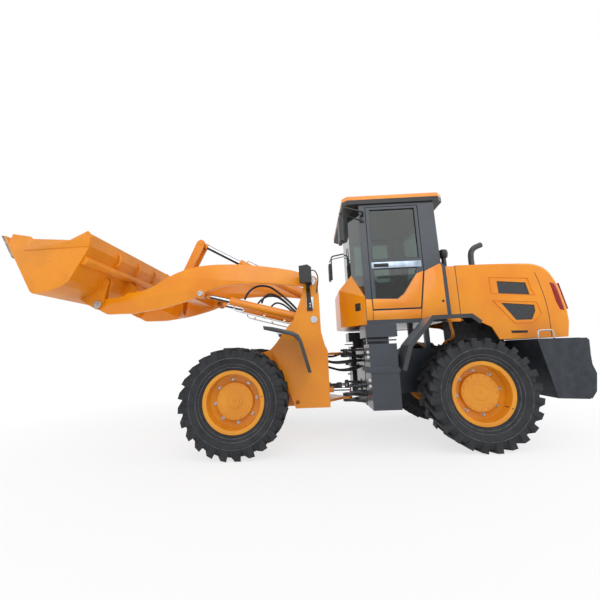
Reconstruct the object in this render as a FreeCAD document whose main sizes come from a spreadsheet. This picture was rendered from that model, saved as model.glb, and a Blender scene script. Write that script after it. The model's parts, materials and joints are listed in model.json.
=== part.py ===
"""A small articulated wheel loader: bucket on a Z-bar boom, cab and engine on the rear frame.

The machine stands on its four tyres.  +X points forward, +Y to the driver's left and +Z up.
Lengths are millimetres.  Places along X are measured from the vertical articulation pins, and
every sub-part's Placement then shifts it by hinge_x, so that the origin comes under the
middle of the machine.
"""
import FreeCAD
import Part
import Sketcher
import math
import os
import re

DOC = FreeCAD.newDocument("wheel_loader")
SHEET = DOC.addObject("Spreadsheet::Sheet", "dims")
VECTOR = FreeCAD.Vector

DIMENSIONS = {
    "hinge_x": -710,
    # wheels and axles
    "wheel_radius": 588, "carcass_radius": 551, "tyre_width": 410,
    "shoulder_radius": 460, "lug_pairs": 24, "bead_y": 130, "wheel_y": 800, "front_axle_x": 1337,
    "rear_axle_x": -1331,
    "rim_radius": 305, "flange_radius": 337,
    # front frame
    "plate": 15, "inner_plate_y": 337.5, "outer_plate_y": 522.5, "bulkhead_x": 270,
    "upper_hinge_z": 1055, "lower_hinge_z": 467, "hinge_pin_radius": 30,
    "tie_down_x": 660, "tie_down_z": 500, "tie_down_radius": 25,
    # boom and linkage
    "boom_pivot_x": 435, "boom_pivot_z": 1985, "arm_y": 480, "arm_thickness": 40,
    "bucket_pin_x": 3201, "bucket_pin_z": 1799, "pin_radius": 30, "pin_gap": 1,
    "crank_pivot_x": 2282, "crank_pivot_z": 2146, "crank_top_x": 2029, "crank_top_z": 2742,
    "crank_low_x": 2344, "crank_low_z": 1698, "link_pin_x": 3029, "link_pin_z": 2045,
    "crank_plate_y": 68, "crank_plate": 25, "crank_pin_radius": 35,
    # cylinders
    "lift_y": 400, "lift_base_x": 420, "lift_base_z": 1490, "lift_pin_x": 1874,
    "lift_pin_z": 1892, "lift_barrel_radius": 52, "lift_rod_radius": 28,
    "tilt_base_x": 420, "tilt_base_z": 1825, "tilt_barrel_radius": 60, "tilt_rod_radius": 33,
    "steer_z": 605, "steer_base_x": 760, "steer_base_y": 250, "steer_eye_x": -30,
    "steer_eye_y": 280, "steer_barrel_radius": 35, "steer_rod_radius": 20,
    # bucket
    "bucket_half": 1030, "bucket_side": 20,
    # cab
    "cab_half": 700, "cab_wall": 40, "cab_floor_z": 1430, "cab_base_z": 1386,
    "cab_top_z": 2905, "cab_rear_x": -1150, "glass": 6, "roof_thickness": 120,
    # engine hood and rear
    "hood_half": 600, "hood_sheet": 25, "counterweight_half": 900,
    "hitch_x": -2520, "hitch_radius": 20,
}

for row, (alias, value) in enumerate(DIMENSIONS.items(), start=1):
    SHEET.set("A%d" % row, alias)
    SHEET.set("B%d" % row, str(value))
    SHEET.setAlias("B%d" % row, alias)
DOC.recompute()


def cells(expression):
    """The expression with each alias turned into a reference to its cell in the sheet."""
    return re.sub(r"[a-z]\w+", lambda word: "dims." + word.group(0)
                  if word.group(0) in DIMENSIONS else word.group(0), str(expression))


def value(expression):
    """What an expression in aliases comes to, in millimetres."""
    text = re.sub(r"[a-z]\w+", lambda word: str(SHEET.get(word.group(0))), str(expression))
    total = 0.0
    for sign, term in re.findall(r"([+-]?)\s*([^+-]+)", text):
        product = 1.0
        for factor in term.split("*"):
            top, _, bottom = factor.partition("/")
            product *= float(top) / (float(bottom) if bottom else 1.0)
        total += -product if sign == "-" else product
    return total


def new_body(label):
    """An empty body, set at its place along the machine."""
    body = DOC.addObject("PartDesign::Body", label)
    body.Label = label
    body.setExpression("Placement.Base.x", "dims.hinge_x")
    return body


def origin_plane(body, role):
    return next(item for item in body.Origin.OriginFeatures if item.Role == role)


PLANES = {"side": ("XZ_Plane", -1), "plan": ("XY_Plane", 1), "front": ("YZ_Plane", 1)}


def new_sketch(body, plane, level=0):
    """A sketch seen from the side (x, z), from above (x, y) or along the machine (y, z)."""
    role, sign = PLANES[plane]
    sketch = body.newObject("Sketcher::SketchObject", body.Label + "_sketch")
    sketch.AttachmentSupport = [(origin_plane(body, role), "")]
    sketch.MapMode = "FlatFace"
    offset = cells("%s * (%s)" % (sign, level))
    sketch.setExpression("AttachmentOffset.Base.z", offset)
    return sketch


def hold(sketch, kind, geometry, point, distance):
    """Fix one coordinate of a sketch point, and keep it tied to the sheet."""
    row = sketch.addConstraint(
        Sketcher.Constraint(kind, -1, 1, geometry, point, value(distance)))
    if not isinstance(distance, (int, float)):
        sketch.setExpression("Constraints[%d]" % row, cells(distance))


def shifted(anchor, step):
    """A coordinate measured from an anchor of the sheet."""
    if anchor == 0:
        return step
    return "%s + %s" % (anchor, step) if not str(step).startswith("-") \
        else "%s - %s" % (anchor, str(step)[1:])


def draw_outline(sketch, corners, at=(0, 0)):
    """A closed outline of straight runs through its corners."""
    places = [(shifted(at[0], u), shifted(at[1], v)) for u, v in corners]
    points = [VECTOR(value(u), value(v), 0) for u, v in places]
    first = sketch.GeometryCount
    count = len(points)
    for index in range(count):
        sketch.addGeometry(Part.LineSegment(points[index], points[(index + 1) % count]), False)
    for index, (u, v) in enumerate(places):
        following = first + (index + 1) % count
        sketch.addConstraint(
            Sketcher.Constraint("Coincident", first + index, 2, following, 1))
        hold(sketch, "DistanceX", first + index, 1, u)
        hold(sketch, "DistanceY", first + index, 1, v)
    return sketch


def draw_circle(sketch, centre, radius):
    u, v = centre
    circle = Part.Circle(VECTOR(value(u), value(v), 0), VECTOR(0, 0, 1), value(radius))
    number = sketch.addGeometry(circle, False)
    hold(sketch, "DistanceX", number, 3, u)
    hold(sketch, "DistanceY", number, 3, v)
    row = sketch.addConstraint(Sketcher.Constraint("Radius", number, value(radius)))
    sketch.setExpression("Constraints[%d]" % row, cells(radius))
    return sketch


def pad(body, sketch, thickness):
    """Thicken a profile equally to both sides of its plane."""
    feature = body.newObject("PartDesign::Pad", body.Label + "_pad")
    feature.Profile = sketch
    feature.SideType = "Symmetric"
    feature.setExpression("Length", cells(thickness))
    return feature


def pocket(body, sketch, depth):
    """Cut a profile equally to both sides of its plane."""
    feature = body.newObject("PartDesign::Pocket", body.Label + "_pocket")
    feature.Profile = sketch
    feature.SideType = "Symmetric"
    feature.setExpression("Length", cells(depth))
    return feature


def plate(body, plane, level, thickness, corners, at=(0, 0), holes=()):
    """A flat plate: its outline, with round holes as (u, v, radius)."""
    sketch = draw_outline(new_sketch(body, plane, level), corners, at)
    for u, v, radius in holes:
        draw_circle(sketch, (u, v), radius)
    return pad(body, sketch, thickness)


def boss(body, plane, level, thickness, centre, radius, bore=None):
    """A round boss or pin, with a bore if it has one."""
    sketch = draw_circle(new_sketch(body, plane, level), centre, radius)
    if bore is not None:
        draw_circle(sketch, centre, bore)
    return pad(body, sketch, thickness)


def cut_hole(body, plane, level, depth, centre, radius):
    return pocket(body, draw_circle(new_sketch(body, plane, level), centre, radius), depth)


def cut_outline(body, plane, level, depth, corners, at=(0, 0)):
    return pocket(body, draw_outline(new_sketch(body, plane, level), corners, at), depth)


def round_corners(body, plane, radius, corners, at=(0, 0)):
    """Round the edges that stand square on the plane at the given corners."""
    DOC.recompute()
    across = {"side": 1, "plan": 2, "front": 0}[plane]
    flat = [axis for axis in (0, 1, 2) if axis != across]
    wanted = [(value(shifted(at[0], u)), value(shifted(at[1], v))) for u, v in corners]
    base = body.Tip
    names = []
    for number, edge in enumerate(base.Shape.Edges, start=1):
        if len(edge.Vertexes) != 2:
            continue
        ends = [vertex.Point for vertex in edge.Vertexes]
        run = ends[1] - ends[0]
        if abs(run[across]) < 0.999 * run.Length:
            continue
        if any(math.hypot(ends[0][flat[0]] - u, ends[0][flat[1]] - v) < 0.5
               for u, v in wanted):
            names.append("Edge%d" % number)
    fillet = body.newObject("PartDesign::Fillet", body.Label + "_fillet")
    fillet.Base = (base, names)
    fillet.setExpression("Radius", cells(radius))
    body.Tip = fillet
    return fillet


def mirror_across(body):
    """The whole body again on the machine's other side."""
    base = body.Tip
    feature = body.newObject("PartDesign::Mirrored", body.Label + "_mirror")
    feature.Originals = [base]
    feature.TransformMode = "Whole shape"
    feature.MirrorPlane = (origin_plane(body, "XZ_Plane"), [""])
    body.Tip = feature
    return feature


def revolve(body, plane, corners, about, at=(0, 0)):
    """A turned piece: its half profile, spun about the sketch's V_Axis or H_Axis."""
    sketch = draw_outline(new_sketch(body, plane), corners, at)
    feature = body.newObject("PartDesign::Revolution", body.Label + "_turned")
    feature.Profile = sketch
    feature.ReferenceAxis = (sketch, [about])
    feature.Angle = 360
    return feature


def turned(label, profile, place, axis=(0, 1, 0), angle=0):
    """A turned piece of (along, radius) corners about its own axis, then set in place."""
    body = DOC.addObject("PartDesign::Body", label)
    body.Label = label
    revolve(body, "side", [(radius, along) for along, radius in profile], "V_Axis")
    set_place(body, place, axis, angle)
    return body


def set_place(piece, place, axis, angle):
    """Turn a piece about an axis by an angle, and tie its place to the sheet."""
    piece.Placement = FreeCAD.Placement(VECTOR(0, 0, 0), FreeCAD.Rotation(VECTOR(*axis), angle))
    for name, expression in zip("xyz", place):
        if name == "x":
            expression = shifted("hinge_x", expression)
        piece.setExpression("Placement.Base." + name, cells(expression))


def fuse(label, pieces):
    """One welded piece out of several bodies."""
    joined = DOC.addObject("Part::MultiFuse", label)
    joined.Label = label
    joined.Shapes = pieces
    joined.Refine = True
    return joined


def feature(label, shape, place=(0, 0, 0)):
    """A sub-part whose shape Part's own functions make, set at its place."""
    piece = DOC.addObject("Part::Feature", label)
    piece.Label = label
    piece.Shape = shape
    set_place(piece, place, (0, 0, 1), 0)
    return piece


def size(alias):
    return float(SHEET.get(alias))


def tube_along(points, radius, bend):
    """A tube whose route is straight runs joined by tangent arcs of one radius."""
    points = [VECTOR(*point) for point in points]
    edges = []
    start = points[0]
    for before, corner, after in zip(points, points[1:], points[2:]):
        into = (corner - before).normalize()
        out = (after - corner).normalize()
        turn = into.getAngle(out)
        reach = bend * math.tan(turn / 2)
        first = corner - into * reach
        last = corner + out * reach
        middle_way = (out - into).normalize()
        middle = corner + middle_way * (bend / math.cos(turn / 2) - bend)
        edges.append(Part.LineSegment(start, first).toShape())
        edges.append(Part.Arc(first, middle, last).toShape())
        start = last
    edges.append(Part.LineSegment(start, points[-1]).toShape())
    route = Part.Wire(edges)
    ring = Part.Circle(points[0], points[1] - points[0], radius).toShape()
    return route.makePipeShell([Part.Wire([ring])], True, True)


# ---------------------------------------------------------------- wheels and axles

def faceted_ring(profile, sides):
    """A closed profile of (y, radius) corners carried round the wheel's axis in flat facets."""
    rings = []
    for step in range(sides):
        turn = 2 * math.pi * step / sides
        rings.append([VECTOR(r * math.sin(turn), y, r * math.cos(turn)) for y, r in profile])
    faces = []
    for ring, following in zip(rings, rings[1:] + rings[:1]):
        for a in range(len(profile)):
            b = (a + 1) % len(profile)
            quad = [ring[a], ring[b], following[b], following[a], ring[a]]
            faces.append(Part.Face(Part.makePolygon(quad)))
    return Part.makeSolid(Part.makeShell(faces))


def raked_lug(hand):
    """One lug of the tread, from just past the middle out over the shoulder."""
    inner, outer = -12, size("tyre_width") / 2 - 4
    rake, narrow, wide = 60, 23, 32
    corners = [(-rake - narrow, inner), (-rake + narrow, inner), (rake + wide, outer),
               (rake - wide, outer)]
    root = size("shoulder_radius") - 10
    tip = math.sqrt(size("wheel_radius") ** 2 - (rake + wide) ** 2)
    plan = Part.makePolygon([VECTOR(x, hand * y, root) for x, y in corners + corners[:1]])
    return Part.Face(plan).extrude(VECTOR(0, 0, tip - root))


def tyre(label, wheel_x, side):
    """A wide tyre: a flat-sided carcass and two rows of raked lugs that meet as arrows."""
    sides = int(size("lug_pairs"))
    half = size("tyre_width") / 2
    bore = size("rim_radius") / math.cos(math.pi / sides)
    flank = [(size("bead_y"), bore), (half, size("shoulder_radius")),
             (half - 28, size("carcass_radius"))]
    carcass = faceted_ring([(-y, r) for y, r in flank] + flank[::-1], sides)
    lugs = []
    for row, hand in enumerate((1, -1)):
        lug = raked_lug(hand)
        for step in range(sides):
            copy = lug.copy()
            copy.rotate(VECTOR(0, 0, 0), VECTOR(0, 1, 0), 360 * (step + row / 2) / sides)
            lugs.append(copy)
    return feature(label, carcass.multiFuse(lugs),
                   (wheel_x, "%s * wheel_y" % side, "wheel_radius"))


def rim(label, wheel_x, side):
    """A pressed rim with its dished disc and the hub that turns on the spindle."""
    barrel, flange, hub = size("rim_radius"), size("flange_radius"), 120
    profile = [(-146, barrel - 12), (-154, flange), (-146, flange), (-130, barrel),
               (130, barrel), (146, flange), (154, flange), (146, barrel - 12),
               (24, barrel - 14), (20, 250), (52, 190), (52, 150), (78, 140), (78, 0),
               (40, 0), (40, 56), (-236, 56), (-236, hub), (30, hub), (30, 180), (0, 244),
               (0, barrel - 14)]
    body = turned(label, profile, (wheel_x, "%s * wheel_y" % side, "wheel_radius"),
                  (1, 0, 0), -90 * side)
    return body


def axle(label, axle_x):
    """A drive axle: the beam swells round its gears, and a spindle carries each wheel."""
    half = [(0, 190), (70, 184), (150, 120), (190, 100), (430, 84), (500, 92), (540, 92),
            (540, 150), (556, 150), (556, 54), (830, 54), (830, 0)]
    profile = half + [(0, 0)]
    body = new_body(label)
    sketch = new_sketch(body, "front")
    draw_outline(sketch, [(along, radius) for along, radius in profile], (0, 0))
    sketch.setExpression("AttachmentOffset.Base.y", cells("wheel_radius"))
    sketch.setExpression("AttachmentOffset.Base.z", cells(axle_x))
    spin = body.newObject("PartDesign::Revolution", label + "_turned")
    spin.Profile = sketch
    spin.ReferenceAxis = (sketch, ["H_Axis"])
    spin.Angle = 360
    plate(body, "front", axle_x, 200, [(290, 0), (385, 0), (385, 132), (290, 132)],
          (0, "wheel_radius"))
    mirror_across(body)
    return body


# ---------------------------------------------------------------- front frame

def front_frame():
    """The welded front frame: towers of paired plates, a box between, and hinge plates."""
    outer = new_body("front_tower_plates")
    tower = [(268, 430), (684, 430), (953, 1136), (821, 1329), (683, 1490), (560, 1800),
             (510, 2050), (360, 2050), (345, 1803), (338, 1335), (300, 1173), (268, 1100)]
    plate(outer, "side", "outer_plate_y", "plate", tower,
          holes=[("tie_down_x", "tie_down_z", "tie_down_radius")])
    round_corners(outer, "side", 60, [(510, 2050), (360, 2050)])
    inner_side = [(268, 430), (1000, 430), (1130, 720), (1540, 720), (1540, 980), (1000, 1136),
                  (821, 1329), (683, 1490), (560, 1800), (510, 2050), (360, 2050),
                  (345, 1803), (338, 1335), (300, 1173), (268, 1100)]
    plate(outer, "side", "inner_plate_y", "plate", inner_side)
    round_corners(outer, "side", 60, [(510, 2050), (360, 2050)])
    plate(outer, "front", 349.5, 15, [(345, 1180), (515, 1180), (515, 1700), (345, 1700)])
    plate(outer, "front", 620, 15, [(345, 430), (515, 430), (515, 545), (345, 545)])
    plate(outer, "front", 620, 15, [(345, 680), (515, 680), (515, 1080), (345, 1080)])
    mirror_across(outer)
    between = [(-330, 430), (330, 430), (330, 1140), (-330, 1140)]
    plate(outer, "front", "bulkhead_x + 7.5", "plate", between,
          holes=[(0, 620, 90), (267, 605, 52), (-267, 605, 52)])
    plate(outer, "plan", 437.5, "plate", [(277, -330), (1000, -330), (1000, 330), (277, 330)])
    plate(outer, "plan", 972.5, "plate", [(960, -330), (1540, -330), (1540, 330), (960, 330)])
    plate(outer, "front", 1532.5, "plate", [(-330, 720), (330, 720), (330, 966), (-330, 966)])
    for level in ("upper_hinge_z", "lower_hinge_z"):
        tongue = [(272, -300), (272, 300), (60, 62), (-62, 62), (-62, -62), (60, -62)]
        plate(outer, "plan", level, 30, tongue, holes=[(0, 0, "hinge_pin_radius + pin_gap")])
        round_corners(outer, "plan", 60, [(-62, 62), (-62, -62)])
    plate(outer, "side", 0, 660, [(352, 1600), (490, 1600), (490, 1690), (352, 1690)])
    ears = new_body("tilt_base_ears")
    plate(ears, "side", 76, 24, [(352, 1690), (490, 1690), (470, 1860), (370, 1860)])
    round_corners(ears, "side", 45, [(470, 1860), (370, 1860)])
    mirror_across(ears)
    boss(ears, "side", 0, 176, ("tilt_base_x", "tilt_base_z"), "pin_radius")
    pins = new_body("tower_pins")
    boss(pins, "side", 430, 200, ("boom_pivot_x", "boom_pivot_z"), "pin_radius")
    boss(pins, "side", 430, 200, ("lift_base_x", "lift_base_z"), "pin_radius")
    for level in (552, 658):
        plate(pins, "plan", level, 25, [(700, 200), (820, 200), (820, 331), (700, 331)])
    boss(pins, "plan", "steer_z", 130, ("steer_base_x", "steer_base_y"), 25)
    mirror_across(pins)
    return fuse("front_frame", [outer, ears, pins])


def mudguards_front():
    """A bent sheet behind each front wheel, with a rim along its outer edge."""
    body = new_body("mudguards_front")
    middle, half = 705, 155
    sheet = [(1012, 1407), (547, 1305), (475, 1180), (475, 860), (483, 860), (483, 1177),
             (553, 1298), (1014, 1399)]
    plate(body, "side", middle, 2 * half, sheet)
    plate(body, "side", middle + half - 4, 8,
          [(1012, 1407), (547, 1305), (475, 1180), (475, 860), (500, 860), (500, 1170),
           (562, 1282), (1016, 1384)])
    plate(body, "side", 540, 20, [(560, 1240), (700, 1240), (700, 1336), (600, 1316),
                                  (560, 1306)])
    mirror_across(body)
    return body


def work_lamps():
    """A lamp on a cranked arm at the top of each tower."""
    body = new_body("work_lamps")
    plate(body, "side", 745, 150, [(569, 2110), (477, 2125), (430, 2090), (430, 1900),
                                   (576, 1925)])
    plate(body, "side", 605, 130, [(455, 1960), (500, 1960), (500, 1860), (455, 1860)])
    plate(body, "side", 536, 12, [(430, 1600), (500, 1600), (500, 1905), (455, 1900)])
    mirror_across(body)
    return body


# ---------------------------------------------------------------- boom, linkage and bucket

BOOM_OUTLINE = [(3201, 1730), (3095, 1671), (2757, 1669), (2371, 1717), (1987, 1816),
                (1821, 1880), (1666, 1965), (1343, 1995), (1060, 1990), (766, 1960),
                (577, 1925), (435, 1910), (365, 1925), (355, 2030), (430, 2070), (697, 2151),
                (953, 2203), (1342, 2259), (1734, 2274), (1996, 2246), (2256, 2144),
                (2513, 1997), (2772, 1943), (2901, 1896), (3201, 1875), (3270, 1840),
                (3270, 1760)]


def boom_arms():
    """Two flame-cut arms, bored for the pivots and for the bucket pins."""
    body = new_body("boom_arms")
    pivot = ("boom_pivot_x", "boom_pivot_z", "pin_radius + pin_gap")
    tip = ("bucket_pin_x", "bucket_pin_z", "pin_radius + pin_gap")
    plate(body, "side", "arm_y", "arm_thickness", BOOM_OUTLINE, holes=[pivot, tip])
    boss(body, "side", 454, 12, ("lift_pin_x", "lift_pin_z"), 55)
    mirror_across(body)
    return body


def boom_cross_beam():
    """The box beam between the arms, with the two ears that carry the bell crank."""
    body = new_body("boom_beam_box")
    plate(body, "side", 0, "2 * arm_y - arm_thickness",
          [(2000, 1850), (2180, 1850), (2180, 2050), (2000, 2050)])
    ears = new_body("crank_ears")
    plate(ears, "side", 98, 24, [(2005, 1860), (2175, 1860), (2375, 2110), (2340, 2230),
                                 (2230, 2230), (2005, 2045)])
    round_corners(ears, "side", 60, [(2375, 2110), (2340, 2230)])
    mirror_across(ears)
    boss(ears, "side", 0, 232, ("crank_pivot_x", "crank_pivot_z"), "crank_pin_radius")
    return fuse("boom_cross_beam", [body, ears])


def bell_crank():
    """Twin crank plates on a common hub, pushed at the top and pushing the link below."""
    body = new_body("bell_crank")
    corners = [(2030, 2802), (1975, 2760), (1985, 2690), (2160, 2330), (2205, 2150),
               (2262, 1960), (2284, 1690), (2344, 1638), (2404, 1690), (2400, 1960),
               (2360, 2160), (2300, 2280), (2085, 2760)]
    plate(body, "side", "crank_plate_y", "crank_plate", corners)
    round_corners(body, "side", 45, [(2030, 2802), (1975, 2760), (2344, 1638)])
    mirror_across(body)
    pivot = ("crank_pivot_x", "crank_pivot_z")
    boss(body, "side", 0, "2 * crank_plate_y + crank_plate", pivot, 75)
    cut_hole(body, "side", 0, 400, pivot, "crank_pin_radius + pin_gap")
    for x, z in (("crank_top_x", "crank_top_z"), ("crank_low_x", "crank_low_z")):
        for side in (1, -1):
            boss(body, "side", "%s * 83" % side, 10, (x, z), 34)
    return body


def bucket_link():
    """The short link from the crank's low end to the ears on the bucket's back."""
    body = new_body("bucket_link")
    low = ("crank_low_x", "crank_low_z")
    plate(body, "side", 0, 50, [(2330, 1745), (3010, 2092), (3050, 2000), (2365, 1650)])
    boss(body, "side", 0, 90, ("link_pin_x", "link_pin_z"), 55)
    boss(body, "side", 0, 90, low, 50)
    cut_hole(body, "side", 0, 200, ("link_pin_x", "link_pin_z"), "25 + pin_gap")
    cut_hole(body, "side", 0, 200, low, 26)
    return body


WRAPPER = [(3000, 2560), (2992, 2406), (3206, 2010), (3270, 1950), (3361, 1912), (3450, 1885),
           (3521, 1878), (3625, 1871), (3660, 1900), (4043, 2583)]


def bucket_shell():
    """Rolled wrapper with its two side plates."""
    body = new_body("bucket_shell")
    inside = [(4025, 2583), (3648, 1909), (3618, 1885), (3522, 1892), (3454, 1899),
              (3367, 1925), (3281, 1960), (3217, 2018), (3007, 2409), (3014, 2560)]
    plate(body, "side", 0, "2 * bucket_half", WRAPPER + inside)
    side_plate = [(3030, 2593), (2978, 2528), (2992, 2406), (3206, 2010), (3270, 1950),
                  (3361, 1912), (3450, 1885), (3521, 1878), (3625, 1871), (3660, 1900),
                  (3974, 2460), (3936, 2602), (3725, 2560), (3685, 2527), (3237, 2492)]
    plate(body, "side", "bucket_half - bucket_side / 2", "bucket_side", side_plate)
    mirror_across(body)
    return body


def bucket_edge():
    """The thick cutting edge under the lip."""
    body = new_body("bucket_cutting_edge")
    plate(body, "side", 0, "2 * bucket_half", [(4043, 2583), (3895, 2319), (3917, 2307),
                                               (4075, 2588)])
    return body


def bucket_brackets():
    """Pairs of ears for the arms and the link, with the pins that pass through them."""
    arm_ears = new_body("bucket_arm_ears")
    ear = [(3201, 1725), (3380, 1830), (3450, 1885), (3361, 1912), (3270, 1950),
           (3206, 2010), (3120, 2165), (3090, 2100), (3135, 1830)]
    for level in (444, 516):
        plate(arm_ears, "side", level, 20, ear)
        round_corners(arm_ears, "side", 40, [(3201, 1725)])
    boss(arm_ears, "side", 480, 112, ("bucket_pin_x", "bucket_pin_z"), "pin_radius")
    mirror_across(arm_ears)
    link_ears = new_body("bucket_link_ears")
    plate(link_ears, "side", 62, 20, [(2985, 2000), (3206, 2010), (3089, 2225), (2975, 2095)])
    mirror_across(link_ears)
    boss(link_ears, "side", 0, 160, ("link_pin_x", "link_pin_z"), 25)
    return fuse("bucket_brackets", [arm_ears, link_ears])


# ---------------------------------------------------------------- cylinders

def cylinder(name, base, tip, pin, radii, lengths, widths):
    """The barrel and the rod of one cylinder, laid out along the line between its pins."""
    radius, rod_radius, pin_radius = radii
    closed, retract = lengths
    run = VECTOR(*[value(b) - value(a) for a, b in zip(base, tip)])
    span = run.Length
    along = run * (1 / span)
    across = VECTOR(*pin).cross(along)
    turn = FreeCAD.Rotation(across, VECTOR(*pin), along, "ZYX")
    wall, shank = value(radius), value(rod_radius)
    bore = shank + 1
    barrel = DOC.addObject("PartDesign::Body", name.replace("cylinder", "barrel"))
    revolve(barrel, "side", [(0, 60), (wall * 0.8, 60), (wall, 85), (wall, closed - 40),
                             (wall + 2, closed - 40), (wall + 2, closed - 6),
                             (wall * 0.75, closed), (bore, closed), (bore, 100), (0, 100)],
            "V_Axis")
    eye(barrel, 0, wall * 0.92, pin_radius + 1, widths[0], 70)
    rod = DOC.addObject("PartDesign::Body", name.replace("cylinder", "rod"))
    revolve(rod, "side", [(0, 110 + retract), (shank, 110 + retract), (shank, span - 30),
                          (0, span - 30)], "V_Axis")
    eye(rod, span, shank * 1.7, shank * 0.9, widths[1], 0)
    for piece in (barrel, rod):
        piece.Label = piece.Name
        piece.Placement = FreeCAD.Placement(VECTOR(0, 0, 0), turn)
        for letter, place in zip("xyz", base):
            place = shifted("hinge_x", place) if letter == "x" else place
            piece.setExpression("Placement.Base." + letter, cells(place))
    return [barrel, rod]


def eye(body, height, radius, bore, width, neck):
    """The eye at a cylinder's end: a ring across the axis, on a neck where it has one."""
    boss(body, "side", 0, width, (0, height), radius)
    if neck:
        plate(body, "side", 0, width * 0.8, [(-radius * 0.7, 10), (radius * 0.7, 10),
                                             (radius * 0.7, neck), (-radius * 0.7, neck)])
    cut_hole(body, "side", 0, 4 * width, (0, height), bore)


def lift_cylinders():
    """The pair that lifts the boom, barrels on the towers and rods on the arms."""
    barrels, rods = [], []
    for tag, side in (("left", 1), ("right", -1)):
        y = "%s * lift_y" % side
        barrel, rod = cylinder("lift_cylinder_" + tag, ("lift_base_x", y, "lift_base_z"),
                               ("lift_pin_x", y, "lift_pin_z"), (0, 1, 0),
                               ("lift_barrel_radius", "lift_rod_radius", 30), (1131, 290),
                               (90, 64))
        barrels.append(barrel)
        rods.append(rod)
    return [fuse("lift_barrels", barrels), fuse("lift_rods", rods)]


def tilt_cylinder():
    return cylinder("tilt_cylinder", ("tilt_base_x", 0, "tilt_base_z"),
                    ("crank_top_x", 0, "crank_top_z"), (0, 1, 0),
                    ("tilt_barrel_radius", "tilt_rod_radius", 30), (1207, 550), (116, 96))


def steering_cylinders():
    made = []
    for tag, side in (("left", 1), ("right", -1)):
        base = ("steer_base_x", "%s * steer_base_y" % side, "steer_z")
        tip = ("steer_eye_x", "%s * steer_eye_y" % side, "steer_z")
        made += cylinder("steering_cylinder_" + tag, base, tip, (0, 0, 1),
                         ("steer_barrel_radius", "steer_rod_radius", 25), (560, 172),
                         (60, 46))
    return made


# ---------------------------------------------------------------- rear frame

def rear_frame():
    """Side plates arched over the axle, cross plates, and the lugs that hold the hinge pins."""
    body = new_body("rear_frame_plates")
    outline = [(-200, 500), (-1000, 560), (-1130, 720), (-1530, 720), (-1640, 600),
               (-2127, 600), (-2127, 1080), (-200, 1080)]
    plate(body, "side", "inner_plate_y", "plate", outline)
    mirror_across(body)
    cross = [(-330, 500), (330, 500), (330, 1080), (-330, 1080)]
    plate(body, "front", -207.5, "plate", cross, holes=[(0, 620, 90)])
    plate(body, "front", -1120, "plate", [(-330, 735), (330, 735), (330, 1080), (-330, 1080)])
    plate(body, "front", -2119.5, "plate", [(-330, 600), (330, 600), (330, 1080), (-330, 1080)])
    lug = [(-205, -200), (-205, 200), (-60, 62), (62, 62), (62, -62), (-60, -62)]
    for level in ("upper_hinge_z", "lower_hinge_z"):
        for step in (38, -38):
            plate(body, "plan", "%s + %s" % (level, step) if step > 0
                  else "%s - %s" % (level, -step), 30, lug)
            round_corners(body, "plan", 60, [(62, 62), (62, -62)])
        boss(body, "plan", level, 116, (0, 0), "hinge_pin_radius")
    webs = new_body("rear_frame_webs")
    plate(webs, "front", -215, 30, [(-330, 405), (330, 405), (330, 1115), (-330, 1115)],
          holes=[(0, 620, 90)])
    clevis = new_body("steering_eye_ears")
    for level in (568, 642):
        plate(clevis, "plan", level, 24, [(-205, 180), (-205, 325), (-60, 318), (0, 300),
                                          (0, 250), (-60, 236)])
    mirror_across(clevis)
    for level in (549, 661):
        boss(clevis, "plan", level, 14, ("steer_eye_x", "steer_eye_y"), 24)
        boss(clevis, "plan", level, 14, ("steer_eye_x", "-1 * steer_eye_y"), 24)
    return fuse("rear_frame", [body, webs, clevis])


def counterweight():
    """The cast counterweight that wraps round the tail of the rear frame."""
    body = new_body("counterweight")
    side = [(-2005, 1140), (-2535, 1134), (-2551, 1050), (-2576, 795), (-2534, 579),
            (-2454, 488), (-2127, 505)]
    plate(body, "side", 0, "2 * counterweight_half", side)
    round_corners(body, "side", 40, [(-2535, 1134), (-2534, 579)])
    cut_outline(body, "plan", 800, 900, [(-2600, 760), (-2600, 950), (-2400, 950)])
    cut_outline(body, "plan", 800, 900, [(-2600, -760), (-2600, -950), (-2400, -950)])
    cut_outline(body, "plan", 860, 600, [(-1990, -346), (-1990, 346), (-2128, 346),
                                         (-2128, -346)])
    cut_outline(body, "side", 0, 200, [(-2440, 600), (-2700, 600), (-2700, 720), (-2440, 720)])
    cut_hole(body, "plan", 560, 400, ("hitch_x", 0), "hitch_radius")
    return body


def engine_block():
    body = new_body("engine_block")
    plate(body, "side", 0, 440, [(-1480, 760), (-2060, 760), (-2060, 1560), (-1480, 1560)])
    round_corners(body, "side", 40, [(-1480, 1560), (-2060, 1560)])
    plate(body, "side", 0, 660, [(-1700, 900), (-1840, 900), (-1840, 1000), (-1700, 1000)])
    return body


def transmission():
    body = new_body("transmission")
    plate(body, "side", 0, 420, [(-420, 580), (-900, 580), (-980, 700), (-980, 1040),
                                 (-420, 1040)])
    plate(body, "side", 0, 660, [(-560, 900), (-700, 900), (-700, 960), (-560, 960)])
    return body


def radiator():
    body = new_body("radiator")
    plate(body, "front", -2300, 90, [(-480, 1170), (480, 1170), (480, 1900), (-480, 1900)])
    return body


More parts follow.
